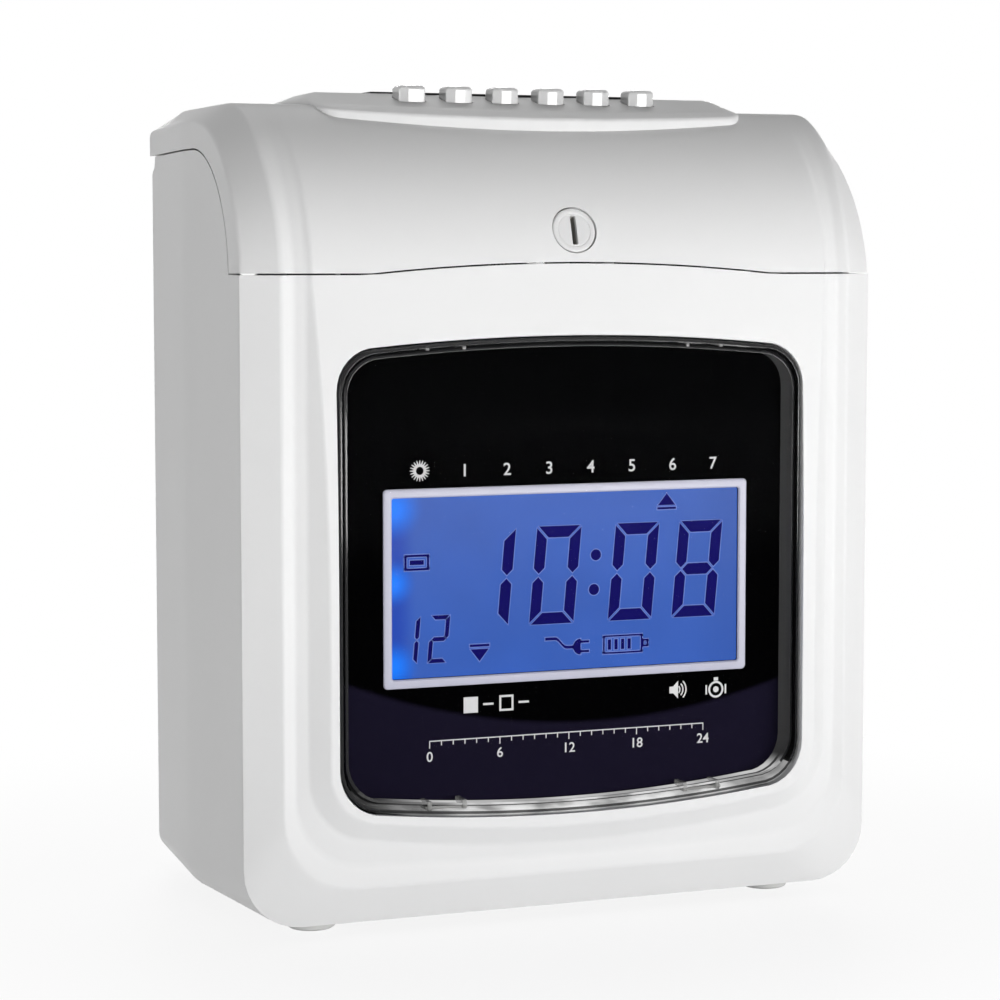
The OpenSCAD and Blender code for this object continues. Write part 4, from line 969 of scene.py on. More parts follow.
def numeral(text, x, z, height):
    """A numeral of the plain built-in face as points and faces, stood up at x and z."""
    curve = bpy.data.curves.new("numeral", "FONT")
    curve.body = text
    curve.size = height * 1.4
    curve.extrude = 0.03
    curve.offset = height * 0.012
    curve.resolution_u = 4
    curve.align_x = "CENTER"
    obj = bpy.data.objects.new("numeral", curve)
    bpy.context.scene.collection.objects.link(obj)
    graph = bpy.context.evaluated_depsgraph_get()
    mesh = bpy.data.meshes.new_from_object(obj.evaluated_get(graph), depsgraph=graph)
    co = np.empty(len(mesh.vertices) * 3)
    mesh.vertices.foreach_get("co", co)
    co = co.reshape(-1, 3)
    faces = [list(p.vertices) for p in mesh.polygons]
    bpy.data.objects.remove(obj)
    bpy.data.curves.remove(curve)
    bpy.data.meshes.remove(mesh)
    return np.stack([co[:, 0] + x, -co[:, 2], co[:, 1] + z], 1), faces


def build_digits():
    """The display's time and day in seven-bar digits, its small signs, and a thin edge round them all."""
    y = LCD_Y - 0.06
    settings, sizes = bpy.context.scene.clock_display, bpy.context.scene.clock_sizes
    w, h, s, lean = 13.9, 28.4, sizes.digit_stroke * 1000, math.tan(sizes.digit_lean)
    shapes = []
    for text, left in zip(f"{settings.hours:02d}{settings.minutes:02d}", (-32.8, -12.3, 12.5, 33.0)):
        shapes += digit(text, left, 82.7, w, h, s, lean)
    shapes += [disc(8.7, 102.2, 1.6), disc(8.1, 92.1, 1.6)]
    for text, left in zip(f"{settings.day:02d}", (-52.6, -43.6)):
        shapes += digit(text, left, 73.2, 5.8, 13.6, 1.15, lean)
    shapes += [np.array([[-30.4, 76.5], [-27.6, 73.0], [-24.8, 76.5]]), bar(-30.6, -24.6, 77.2, 77.9)]
    shapes += [np.array([[28.5, 116.0], [34.1, 116.0], [31.3, 119.4]]), bar(28.3, 34.3, 114.8, 115.4)]
    shapes += frame_bars(11.1, 23.6, 73.0, 78.4, 0.45) + frame_bars(23.6, 25.5, 74.6, 76.8, 0.45)
    shapes += [bar(12.6 + 2.1 * i, 13.6 + 2.1 * i, 74.2, 77.2) for i in range(4)]
    cell = disc(0, 0, 2.3, 24)
    half = cell[cell[:, 0] <= 0.01]
    shapes += [half + [3.9, 75.6], bar(3.9, 6.6, 76.7, 77.3), bar(3.9, 6.6, 73.9, 74.5)]
    a = np.linspace(0, 1, 14)
    line = np.stack([-7.2 + 8.9 * a, 78.3 - 2.7 * smooth((a - 0.35) / 0.4)], 1)
    shapes.append(np.concatenate([line + [0, 0.4], line[::-1] - [0, 0.4]]))
    shapes += frame_bars(-50.4, -43.0, 99.9, 104.4, 0.6) + [bar(-48.8, -44.6, 101.5, 102.8)]
    marks("lcd_digits", shapes, y, "lcd_navy", "lcd_blue")
    marks("lcd_digit_edges", [grown(shape, 0.28) for shape in shapes], y + 0.02, "lcd_line", "lcd_blue")


def build_marks():
    """The panel's marks: sun, squares, loudspeaker, bell clock and hour scale, and the numerals."""
    y = PANEL_Y - 0.06
    sun, horn, bell = (-45.8, 128.2), (34.4, 61.2), (47.6, 60.6)
    scale_x, scale_z, hour_step = -43.0, 50.6, 3.6
    shapes = []
    ray = np.array([[1.8, -0.24], [3.0, -0.09], [3.0, 0.09], [1.8, 0.24]])
    for angle in np.arange(20) * math.pi / 10:
        c, s = math.cos(angle), math.sin(angle)
        x, z = ray[:, 0], ray[:, 1]
        shapes.append(np.stack([sun[0] + x * c - z * s, sun[1] + x * s + z * c], 1))
    shapes += hoop(*sun, 1.95, 1.15)
    shapes += [bar(-32.6, -28.2, 58.2, 62.8)] + frame_bars(-21.6, -17.2, 58.2, 62.8, 0.6)
    shapes += [bar(-26.6, -23.4, 60.2, 60.8), bar(-15.6, -12.4, 60.2, 60.8)]
    shapes.append(horn + np.array([[-2, -1], [-0.8, -1], [0.8, -2.6], [0.8, 2.6], [-0.8, 1], [-2, 1]]))
    for radius in (1.6, 2.6, 3.6):
        arc = round_points(0, 0, radius, angles(-45, 45, 9))
        shapes.append(np.concatenate([arc, arc[::-1] * (radius - 0.4) / radius]) + horn)
    shapes += hoop(*bell, 2.5, 1.9)
    shapes += [disc(*bell, 0.9, 16), bar(46.9, 48.3, 63.2, 64.2), bar(44.2, 44.7, 59.2, 62.0),
               bar(50.5, 51.0, 59.2, 62.0)]
    for hour in range(25):
        x = scale_x + hour * hour_step
        tall = 1.9 if hour % 6 == 0 else 1.2
        shapes.append(bar(x - 0.14, x + 0.14, scale_z - tall, scale_z))
    shapes.append(bar(scale_x - 0.1, scale_x + 24 * hour_step + 0.1, scale_z, scale_z + 0.3))
    marks("panel_marks", shapes, y, "mark_white", "light_white")
    texts = [numeral(str(k + 1), -32.2 + k * 13.05, 126.3, 3.6) for k in range(7)]
    texts += [numeral(str(6 * k), scale_x + 6 * k * hour_step, 44.9, 2.9) for k in range(5)]
    points, faces = several(texts)
    points[:, 1] += y
    piece("panel_numerals", (points, faces), "base", "light_white", (), (), 0, look="mark_white")


# Feet

def build_feet():
    """The four rubber feet, turned and hollow underneath."""
    foot = [(3.0, -2.6), (3.0, -4.0), (6.3, -4.0), (6.9, -3.6), (7.5, -0.6), (7.4, 0.0)]
    bits = [stud(foot, s * 73, y, 48) for s in (-1, 1) for y in (16.5, 100.0)]
    piece("rubber_feet", several(bits), "base", "foot_pale", ["feet"], (), 0.15)


# Finishes

def grey(value):
    """A grey as a colour."""
    return (value, value, value, 1.0)


def colour_of(value):
    """A colour with full alpha from a setting's name, a grey's value or three numbers."""
    if isinstance(value, str):
        value = getattr(bpy.context.scene.clock_colours, value)
    elif isinstance(value, float):
        value = grey(value)
    return tuple(value)[:3] + (1.0,)


def darker(colour, share):
    """A colour times a share."""
    return tuple(c * share for c in colour_of(colour)[:3]) + (1.0,)


def feed(tree, socket, value):
    """Links an input to a socket, or gives it a value."""
    if isinstance(value, bpy.types.NodeSocket):
        tree.links.new(value, socket)
    else:
        socket.default_value = value


def shader_node(tree, kind, inputs):
    """A new shader node whose inputs, by name or number, take sockets or values."""
    node = tree.nodes.new("ShaderNode" + kind)
    for label, value in inputs.items():
        feed(tree, node.inputs[label], value)
    return node


def maths(tree, operation, a, b):
    """A Math node whose inputs are sockets or numbers."""
    node = shader_node(tree, "Math", {0: a, 1: b})
    node.operation = operation
    return node.outputs[0]


def times(tree, *values):
    """The product of sockets and numbers, multiplied from left to right."""
    product = values[0]
    for value in values[1:]:
        product = maths(tree, "MULTIPLY", product, value)
    return product


def noise(tree, vector, scale, detail=2.0):
    """A Noise texture read at a vector; its scale is a number or a socket."""
    return shader_node(tree, "TexNoise", {"Vector": vector, "Scale": scale, "Detail": detail}).outputs["Fac"]


def blended(tree, factor, a, b):
    """A colour mix between two colours, which are sockets or values."""
    node = tree.nodes.new("ShaderNodeMix")
    node.data_type = "RGBA"
    for number, value in ((0, factor), (6, a), (7, b)):
        feed(tree, node.inputs[number], value)
    return node.outputs[2]


def ranged(tree, value, start, end, low=0.0, high=1.0, step="SMOOTHSTEP"):
    """A step of a socket from low at start to high at end, smooth unless it is said to be straight."""
    node = shader_node(tree, "MapRange", {"Value": value, "From Min": start, "From Max": end,
                                          "To Min": low, "To Max": high})
    node.interpolation_type = step
    return node.outputs["Result"]


def pulse(tree, value, start, end, blur):
    """1 where a socket lies between start and end, fading to 0 within blur on either side."""
    return times(tree, ranged(tree, value, start - blur, start), ranged(tree, value, end, end + blur, 1.0, 0.0))


def object_place(tree):
    """Where a point lies on its object, which is also where it lies in the frame at rest."""
    return tree.nodes.new("ShaderNodeTexCoord").outputs["Object"]


def split(tree, vector):
    """The X, Y and Z outputs of a vector."""
    return shader_node(tree, "SeparateXYZ", {"Vector": vector}).outputs


def surface_group(name, slow_scale, detail, swing, stretch=None):
    """A surface as a node group: slow mottling of the colour, and a fine noise for roughness and height."""
    if name in bpy.data.node_groups:
        return bpy.data.node_groups[name]
    tree = bpy.data.node_groups.new(name, "ShaderNodeTree")
    for label, kind, way in (("Colour", "Color", "INPUT"), ("Shade", "Color", "INPUT"),
                             ("Grain scale", "Float", "INPUT"), ("Roughness", "Float", "INPUT"),
                             ("Colour", "Color", "OUTPUT"), ("Roughness", "Float", "OUTPUT"),
                             ("Height", "Float", "OUTPUT")):
        tree.interface.new_socket(name=label, in_out=way, socket_type="NodeSocket" + kind)
    start, end = tree.nodes.new("NodeGroupInput").outputs, tree.nodes.new("NodeGroupOutput").inputs
    place = object_place(tree)
    slow = noise(tree, place, slow_scale, 3.0)
    if stretch:
        place = shader_node(tree, "Mapping", {"Vector": place, "Scale": stretch}).outputs["Vector"]
    fine = noise(tree, place, start["Grain scale"], detail)
    spread = times(tree, maths(tree, "SUBTRACT", fine, 0.5), swing)
    feed(tree, end["Colour"], blended(tree, slow, start["Colour"], start["Shade"]))
    feed(tree, end["Roughness"], maths(tree, "ADD", start["Roughness"], spread))
    feed(tree, end["Height"], fine)
    return tree


def moulded_group():
    """Moulded plastic: an even fine grain."""
    return surface_group("moulded surface", 24.0, 2.0, 0.12)


def rolled_group():
    """Rolled or drawn metal: a noise pulled long along one axis, with faint handling marks."""
    return surface_group("rolled metal", 60.0, 3.0, 0.3, (60.0, 2600.0, 2600.0))


def surfaced(name, group, colour, shade, roughness, bump, grain, gloss=0.5, metallic=0.0):
    """A material from a surface group: its colour, roughness and height feed one Principled shader."""
    material = bpy.data.materials.new(name)
    material.use_nodes = True
    tree = material.node_tree
    shader = tree.nodes["Principled BSDF"]
    node = tree.nodes.new("ShaderNodeGroup")
    node.node_tree = group
    for label, value in (("Colour", colour_of(colour)), ("Shade", colour_of(shade)),
                         ("Roughness", roughness), ("Grain scale", grain)):
        node.inputs[label].default_value = value
    relief = shader_node(tree, "Bump", {"Strength": 0.12, "Distance": bump, "Height": node.outputs["Height"]})
    for label, value in (("Base Color", node.outputs["Colour"]), ("Roughness", node.outputs["Roughness"]),
                         ("Normal", relief.outputs["Normal"]), ("Metallic", metallic),
                         ("Specular IOR Level", gloss)):
        feed(tree, shader.inputs[label], value)
    return material, tree, shader


def glowing(tree, shader, colour, alpha=1.0):
    """Lets a colour socket shine as bright as it is, through a skin of the given alpha."""
    for label, value in (("Emission Color", colour), ("Emission Strength", 1.0), ("Alpha", alpha)):
        feed(tree, shader.inputs[label], value)


def plastic(name, colour, roughness, bump=0.00001, grain=1500.0, gloss=0.5):
    """Moulded plastic of one colour, with a faintly darker mottling."""
    surfaced(name, moulded_group(), colour, darker(colour, 0.965), roughness, bump, grain, gloss)


def metal(name, colour, roughness):
    """Bare metal of one colour, drawn or rolled."""
    surfaced(name, rolled_group(), colour, darker(colour, 0.88), roughness, 0.00001, 1.0, 0.5, 1.0)


def clear(name, colour, roughness, alpha, gloss=0.5):
    """Clear plastic over a dark ground: a see-through skin whose sheen comes from its gloss."""
    _, tree, shader = surfaced(name, moulded_group(), colour, colour, roughness, 0.000002, 300.0, gloss)
    feed(tree, shader.inputs["Alpha"], alpha)


def clear_wall(name):
    """The door's wall: grey as a painted reflection of the black panel behind it, with painted highlights in
    bright stripes on its upward side, and a pale painted highlight line along its front edge.
    """
    _, tree, shader = surfaced(name, moulded_group(), 0.07, 0.07, 0.14, 0.000002, 300.0, 0.3)
    where = tree.nodes.new("ShaderNodeTexCoord").outputs
    place, facing = split(tree, where["Object"]), split(tree, where["Normal"])
    back, front = to_row((0, PANEL_Y, 0))[1], to_row((0, WALL_FRONT_Y, 0))[1]
    depth = ranged(tree, place["Y"], back, front, step="LINEAR")
    # Painted highlights: two bright stripes across the wall's depth, only where it faces upwards, shone out as
    # emission
    painted_highlight_stripes = maths(tree, "MAXIMUM", pulse(tree, depth, 0.10, 0.40, 0.10), pulse(tree, depth, 0.66, 0.84, 0.07))
    upward = ranged(tree, facing["Z"], 0.45, 0.85)
    along = pulse(tree, place["X"], -0.034, 0.066, 0.03)
    uneven = ranged(tree, noise(tree, where["Object"], 60.0), 0.3, 0.7, 0.55, 1.0)
    bright = times(tree, times(tree, painted_highlight_stripes, upward), times(tree, along, uneven))
    # Painted highlight: a pale line along the wall's front edge; the grey elsewhere is a painted reflection of
    # the black panel
    painted_front_line = times(tree, pulse(tree, depth, 0.90, 1.0, 0.04), 0.16)
    feed(tree, shader.inputs["Base Color"], blended(tree, painted_front_line, grey(0.11), grey(0.85)))
    glowing(tree, shader, blended(tree, bright, grey(0.0), grey(0.62)), 0.9)


def clear_streak(name):
    """The inner edge of the door's lower rim, with a painted highlight: one long bright line shone out as
    emission.
    """
    _, tree, shader = surfaced(name, moulded_group(), 0.02, 0.02, 0.1, 0.000002, 300.0, 0.3)
    place = object_place(tree)
    # Painted highlight, full over the middle of the rim and fading towards its ends, made uneven by noise
    along = pulse(tree, split(tree, place)["X"], -0.030, 0.050, 0.035)
    uneven = ranged(tree, noise(tree, place, 90.0), 0.35, 0.65, 0.35, 1.0)
    glowing(tree, shader, blended(tree, times(tree, along, uneven), grey(0.03), grey(0.72)), 0.92)


def lit_screen(name):
    """The lit screen: uneven blue, darker to the right, with three bright leaks at its left edge."""
    _, tree, shader = surfaced(name, moulded_group(), (0.004, 0.01, 0.05), (0.004, 0.01, 0.045), 0.22,
                               0.000002, 900.0, 0.05)
    place = object_place(tree)
    across = split(tree, place)["X"]
    cloudy = ranged(tree, noise(tree, place, 45.0, 1.5), 0.35, 0.7)
    right = ranged(tree, across, LCD_HALF_W * 0.0006, LCD_HALF_W / 1000)
    shaded = maths(tree, "MAXIMUM", right, times(tree, cloudy, 0.6))
    ground = blended(tree, shaded, colour_of("screen"), darker("screen", 0.86))
    edge = ranged(tree, across, (-LCD_HALF_W + 1.5) / 1000, (-LCD_HALF_W + 8) / 1000, 0.85, 0.0)
    ground = blended(tree, edge, ground, (0.004, 0.042, 0.40, 1.0))
    leaks = 0.0
    for height, reach in ((0.88, 10.0), (0.06, 7.5), (-0.86, 8.5)):
        spot = to_row((-LCD_HALF_W + 0.5, LCD_Y, LCD_Z + height * LCD_HALF_H)).tolist()
        away = shader_node(tree, "VectorMath", {0: place, 1: spot})
        away.operation = "DISTANCE"
        glow = ranged(tree, away.outputs["Value"], 0.0, reach / 1000, 1.0, 0.0)
        leaks = maths(tree, "MAXIMUM", leaks, glow)
    glowing(tree, shader, blended(tree, leaks, ground, colour_of("leak")))


def circuit_board(name, turn_x):
    """Green resist over copper tracks: fine broken lines on a board that is turned about x."""
    _, tree, shader = surfaced(name, moulded_group(), (0.012, 0.09, 0.035), (0.01, 0.075, 0.03), 0.35,
                               0.00001, 700.0)
    turn = shader_node(tree, "Mapping", {"Vector": object_place(tree), "Rotation": (turn_x, 0, 0)})
    tracks = shader_node(tree, "TexBrick", {
        "Vector": turn.outputs["Vector"], "Scale": 130.0, "Mortar Size": 0.03,
        "Color1": (0.012, 0.09, 0.035, 1), "Color2": (0.010, 0.075, 0.032, 1), "Mortar": (0.05, 0.22, 0.07, 1)})
    feed(tree, shader.inputs["Base Color"], tracks.outputs["Color"])


def stacked_iron(name):
    """Transformer iron: stacked sheets seen as fine lines across the stack."""
    _, tree, shader = surfaced(name, rolled_group(), 0.18, 0.13, 0.45, 0.00003, 1.0, 0.5, 0.6)
    sheets = shader_node(tree, "TexWave", {"Vector": object_place(tree), "Scale": 320.0})
    sheets.bands_direction = "Y"
    feed(tree, shader.inputs["Base Color"], blended(tree, sheets.outputs["Fac"], grey(0.09), grey(0.24)))


def panel_painted_reflection(name):
    """The panel: deep black, with a navy painted reflection below a line that dips in the middle."""
    _, tree, shader = surfaced(name, moulded_group(), "panel", "panel", 0.12, 0.000001, 400.0, 0.0)
    place = split(tree, object_place(tree))
    sideways = maths(tree, "ADD", place["X"], -0.008)
    bow = times(tree, sideways, sideways, 2.6)
    # Painted reflection: the navy share below a soft line that dips in the middle
    low = ranged(tree, maths(tree, "SUBTRACT", place["Z"], bow), 0.0585, 0.0565)
    feed(tree, shader.inputs["Base Color"], blended(tree, low, colour_of("panel"), colour_of("panel_low")))


# For each finish its maker and what that takes: for plastic the colour, roughness, bump, grain and gloss
FINISHES = {
    "case_white": (plastic, "case", 0.42, 0.00001, 1500.0, 0.1),
    "bezel_white": (plastic, "case", 0.38, 0.00001, 1500.0, 0.12),
    "button_white": (plastic, "keys", 0.12, 0.000005, 2200.0, 0.8),
    "slot_black": (plastic, 0.012, 0.35, 0.00002, 1800.0, 0.2),
    "part_black": (plastic, 0.018, 0.4, 0.00004, 1400.0),
    "part_grey": (plastic, 0.16, 0.45, 0.00004, 1400.0),
    "frame_lilac": (plastic, "frame", 0.3, 0.000005, 900.0, 0.3),
    "lcd_line": (plastic, (0.15, 0.22, 0.60), 0.4, 0.000002, 900.0, 0.02),
    "lcd_navy": (plastic, "digits", 0.4, 0.000002, 900.0, 0.02),
    "mark_white": (plastic, 0.72, 0.5, 0.000005, 2000.0, 0.2),
    "light_white": (plastic, 0.8, 0.4),
    "foot_pale": (plastic, "feet", 0.5, 0.00002, 900.0, 0.2),
    "rubber_black": (plastic, 0.025, 0.75, 0.00008, 900.0),
    "gear_ivory": (plastic, (0.68, 0.646, 0.558), 0.4, 0.00002, 1400.0),
    "coil_tape": (plastic, (0.55, 0.43, 0.125), 0.5, 0.00005, 500.0),
    "cell_wrap": (plastic, (0.06, 0.11, 0.22), 0.3, 0.00001, 700.0),
    "lock_face": (plastic, 0.8, 0.3, 0.00001, 1500.0, 0.2),
    "steel": (metal, 0.62, 0.25),
    "zinc_sheet": (metal, (0.49, 0.50, 0.515), 0.38),
    "lock_metal": (metal, (0.51, 0.5, 0.48), 0.35),
    # The rolled rim is painted near-black and nearly opaque: painted shade standing in for the dark panel seen
    # through the clear rim
    "clear_edge": (clear, (0.010, 0.010, 0.011), 0.07, 0.88, 0.3),
    "clear_pane": (clear, (0.01, 0.01, 0.012), 0.05, 0.015, 0.05),
    "clear_clip": (clear, (0.36, 0.36, 0.35), 0.08, 0.55),
    "smoke_clip": (clear, 0.34, 0.10, 0.6),
    "clear_wall": (clear_wall,),
    "clear_streak": (clear_streak,),
    "lcd_blue": (lit_screen,),
    "panel_black": (panel_painted_reflection,),
    "board_green": (circuit_board, math.pi / 2),
    "board_level": (circuit_board, 0.0),
    "core_iron": (stacked_iron,),
}

# The CAD nodes that stay in view, by finish
INNER_PARTS = {
    "light_white": ["backlight"],
    "board_green": ["display_board", "main_board"],
    "board_level": ["keypad_board"],
    "part_black": ["key_switches", "power_inlet", "card_guide_front", "card_guide_rear", "ribbon_cassette",
                   "ink_ribbon", "board_chips", "buzzer"],
    "part_grey": ["card_stop", "carriage", "ribbon_knob"],
    "lock_metal": ["lock_housing"],
    "steel": ["lock_cam", "hinge_pins", "case_screws", "inlet_pins", "guide_shafts", "print_head",
              "belt_motor", "feed_motor", "feed_shaft", "pinch_shaft"],
    "zinc_sheet": ["printer_frame"],
    "rubber_black": ["platen", "drive_belt", "feed_tyres"],
    "gear_ivory": ["drive_pulley", "idler_pulley", "feed_pinion", "feed_gear", "pinch_rollers"],
    "core_iron": ["transformer_core"],
    "coil_tape": ["transformer_coil"],
    "cell_wrap": ["battery_pack"],
}


def finish(name):
    """The material of that name, made the first time it is asked for."""
    title = "clock " + name
    if title not in bpy.data.materials:
        make, *values = FINISHES[name]
        make(title, *values)
    return bpy.data.materials[title]


def build_inner_parts():
    """Gives every CAD node that stays in view its finish."""
    for look, nodes in INNER_PARTS.items():
        for node in nodes:
            obj = frame["nodes"][node]
            obj.data.materials.clear()
            obj.data.materials.append(finish(look))


# Stage

# The floor in metres, and the photograph's camera: case millimetres, its lens in millimetres, degrees
FLOOR_HALF = 6
CAMERA_PLACE = (-322.69, -753.41, 189.06)
CAMERA_LENS = 102.39
CAMERA_DOWN = 4.93
CAMERA_TURN = -21.83


def lamp(name, place, aim, size, watts):
    """A rectangular lamp at a place in metres, turned towards its aim, with its long side level."""
    light = bpy.data.lights.new(name, "AREA")
    light.shape = "RECTANGLE"
    light.size, light.size_y = size
    light.energy = watts
    obj = bpy.data.objects.new(name, light)
    bpy.context.scene.collection.objects.link(obj)
    away = np.array(place, float) - np.array(aim, float)
    z = away / np.linalg.norm(away)
    x = np.cross([0, 0, 1.0], z) if abs(z[2]) < 0.99 else np.array([1.0, 0, 0])
    x /= np.linalg.norm(x)
    turn = np.eye(4)
    turn[:3] = np.stack([x, np.cross(z, x), z, place], 1)
    obj.matrix_world = Matrix(turn.tolist())
    return light


def seen_rays(tree):
    """1 for rays that come from the camera, a gloss or clear plastic, else 0."""
    path = tree.nodes.new("ShaderNodeLightPath").outputs
    both = maths(tree, "MAXIMUM", path["Is Camera Ray"], path["Is Glossy Ray"])
    return maths(tree, "MAXIMUM", both, path["Is Transmission Ray"])


def mixed(tree, share, first, second):
    """A mix of the shaders of two nodes."""
    return shader_node(tree, "MixShader", {0: share, 1: first.outputs[0], 2: second.outputs[0]}).outputs[0]


def build_world(scene, room_light):
    """White where it is seen straight, in a gloss or through clear plastic, else a faint even light."""
    scene.world = bpy.data.worlds.new("studio")
    scene.world.use_nodes = True
    tree = scene.world.node_tree
    tree.nodes.clear()
    soft, plain = (shader_node(tree, "Background", {"Color": grey(1.0), "Strength": strength})
                   for strength in (room_light, 1.0))
    shader_node(tree, "OutputWorld", {"Surface": mixed(tree, seen_rays(tree), soft, plain)})


def build_floor(scene):
    """A white floor that takes soft shadows near the clock and fades to plain white further out."""
    x = np.linspace(-FLOOR_HALF, FLOOR_HALF, 13)
    grid = np.stack(np.meshgrid(x, x, indexing="ij") + [np.zeros((13, 13))], -1)
    mesh = bpy.data.meshes.new("floor")
    mesh.from_pydata(grid.reshape(-1, 3).tolist(), [], grid_faces(13, 13).tolist())
    floor = bpy.data.objects.new("floor", mesh)
    scene.collection.objects.link(floor)
    material = bpy.data.materials.new("floor")
    material.use_nodes = True
    tree = material.node_tree
    shader = tree.nodes["Principled BSDF"]
    for label, value in (("Base Color", grey(0.8)), ("Roughness", 0.6), ("Specular IOR Level", 0.2)):
        feed(tree, shader.inputs[label], value)
    bright = shader_node(tree, "Emission", {"Strength": 1.0})
    reach = shader_node(tree, "VectorMath", {0: object_place(tree)})
    reach.operation = "LENGTH"
    away = ranged(tree, reach.outputs["Value"], 0.10, 0.30, 0.88, 1.0)
    share = times(tree, seen_rays(tree), away)
    feed(tree, tree.nodes["Material Output"].inputs["Surface"], mixed(tree, share, shader, bright))
    mesh.materials.append(material)


def build_camera(scene):
    """The camera of the photograph, solved from the case's straight edges."""
    camera = bpy.data.cameras.new("camera")
    camera.lens = CAMERA_LENS
    camera.sensor_width = 36.0
    camera.clip_start = 0.01
    obj = bpy.data.objects.new("camera", camera)
    scene.collection.objects.link(obj)
    obj.location = to_row(CAMERA_PLACE)
    obj.rotation_euler = (math.radians(90 - CAMERA_DOWN), 0, math.radians(CAMERA_TURN))
    scene.camera = obj
    scene.view_settings.view_transform = "Standard"


def build_stage():
    """World, floor, lamps and camera."""
    scene = bpy.context.scene
    watts = scene.clock_stage
    build_world(scene, watts.room_light)
    build_floor(scene)
    lamp("front_lamp", (0.90, -1.52, 0.14), (0, 0, 0.10), (1.2, 0.22), watts.front_watts)
    lamp("left_lamp", (-1.68, -0.16, 0.26), (0, 0, 0.12), (1.0, 0.34), watts.side_watts)
    lamp("left_front_lamp", (-0.75, -1.35, 0.16), (0, 0, 0.10), (0.8, 0.24), watts.left_front_watts)
    lamp("low_lamp", (0.30, -1.00, 0.05), (0, 0, 0.04), (1.2, 0.08), watts.low_watts)
    near = lamp("near_floor", (0.12, -0.36, 0.42), (0.12, -0.36, 0.0), (0.9, 0.22), watts.near_watts)
    near.spread = math.radians(60)
    lamp("back_lamp", (0.60, 1.60, 0.32), (0, 0, 0.12), (1.0, 0.34), watts.back_watts)
    lamp("top_lamp", (0.10, 1.00, 1.45), (0, 0.02, 0.2), (1.0, 0.8), watts.top_watts)
    build_camera(scene)


# Settings that a user would change

COLOUR = {"size": 3, "min": 0.0, "max": 1.0, "subtype": "COLOR"}
LENGTH = {"unit": "LENGTH", "precision": 5}
POWER = {"min": 0.0, "unit": "POWER"}


class ClockSizes(bpy.types.PropertyGroup):
    """Lengths and angles of the shells and the digits"""

    wall: bpy.props.FloatProperty(
        name="Wall", description="Thickness of the walls of case, bezel and lid",
        default=WALL / 1000, min=0.0015, max=0.0028, **LENGTH)
    edge: bpy.props.FloatProperty(
        name="Shell edges", description="Rounding of the sharp edges of case, bezel and lid",
        default=0.0004, min=0.0001, max=0.0006, **LENGTH)
    digit_stroke: bpy.props.FloatProperty(
        name="Digit stroke", description="Width of a bar of the large digits",
        default=0.0033, min=0.001, max=0.004, **LENGTH)
    digit_lean: bpy.props.FloatProperty(
        name="Digit lean", description="How far the digits lean to the right",
        default=math.radians(5.2), min=0.0, max=math.radians(12), unit="ROTATION", subtype="ANGLE")


class ClockColours(bpy.types.PropertyGroup):
    """Colours of the plastics, the panel and the screen"""

    case: bpy.props.FloatVectorProperty(
        name="Case", description="Plastic of case, bezel, lid and console",
        default=(0.84, 0.84, 0.84), **COLOUR)
    keys: bpy.props.FloatVectorProperty(
        name="Keys", description="Plastic of the six keys", default=(0.66, 0.66, 0.66), **COLOUR)
    feet: bpy.props.FloatVectorProperty(
        name="Feet", description="Rubber of the four feet", default=(0.62, 0.62, 0.61), **COLOUR)
    panel: bpy.props.FloatVectorProperty(
        name="Panel", description="Black of the printed panel", default=(0.0006, 0.0006, 0.0007), **COLOUR)
    # The navy of the panel's lower field is a painted reflection
    panel_low: bpy.props.FloatVectorProperty(
        name="Panel field", description="Navy of the panel's lower field",
        default=(0.0095, 0.0078, 0.0190), **COLOUR)
    frame: bpy.props.FloatVectorProperty(
        name="Screen frame", description="Frame round the screen", default=(0.55, 0.55, 0.66), **COLOUR)
    screen: bpy.props.FloatVectorProperty(
        name="Screen", description="Light of the screen", default=(0.032, 0.105, 0.45), **COLOUR)
    leak: bpy.props.FloatVectorProperty(
        name="Light leak", description="Stronger light along the screen's left edge",
        default=(0.0, 0.20, 1.0), **COLOUR)
    digits: bpy.props.FloatVectorProperty(
        name="Digits", description="Dark bars of the digits", default=(0.0025, 0.0010, 0.115), **COLOUR)


class ClockDisplay(bpy.types.PropertyGroup):
    """What the screen shows"""

    hours: bpy.props.IntProperty(
        name="Hours", description="Hours that the screen shows", default=10, min=0, max=23)
    minutes: bpy.props.IntProperty(
        name="Minutes", description="Minutes that the screen shows", default=8, min=0, max=59)
    day: bpy.props.IntProperty(
        name="Day", description="Day of the month that the screen shows", default=12, min=1, max=31)


class ClockStage(bpy.types.PropertyGroup):
    """Strengths of the room's light and of the lamps"""

    room_light: bpy.props.FloatProperty(
        name="Room light", description="Strength of the even light from all round", default=0.02, min=0.0)
    front_watts: bpy.props.FloatProperty(
        name="Front lamp", description="Power of the low lamp on the right before the clock",
        default=8.8, **POWER)
    side_watts: bpy.props.FloatProperty(
        name="Side lamp", description="Power of the lamp on the left", default=7.2, **POWER)
    left_front_watts: bpy.props.FloatProperty(
        name="Left front lamp", description="Power of the low lamp on the left before the clock",
        default=1.5, **POWER)
    low_watts: bpy.props.FloatProperty(
        name="Low lamp", description="Power of the flat lamp just above the floor before the clock",
        default=5.0, **POWER)
    near_watts: bpy.props.FloatProperty(
        name="Near floor", description="Power of the lamp that lights the floor at the clock's foot",
        default=0.9, **POWER)
    top_watts: bpy.props.FloatProperty(
        name="Top lamp", description="Power of the lamp above and behind the clock", default=7.0, **POWER)
    back_watts: bpy.props.FloatProperty(
        name="Back lamp", description="Power of the lamp behind the clock", default=14.0, **POWER)


# What the add-on runs, one operator for each piece or group of like pieces

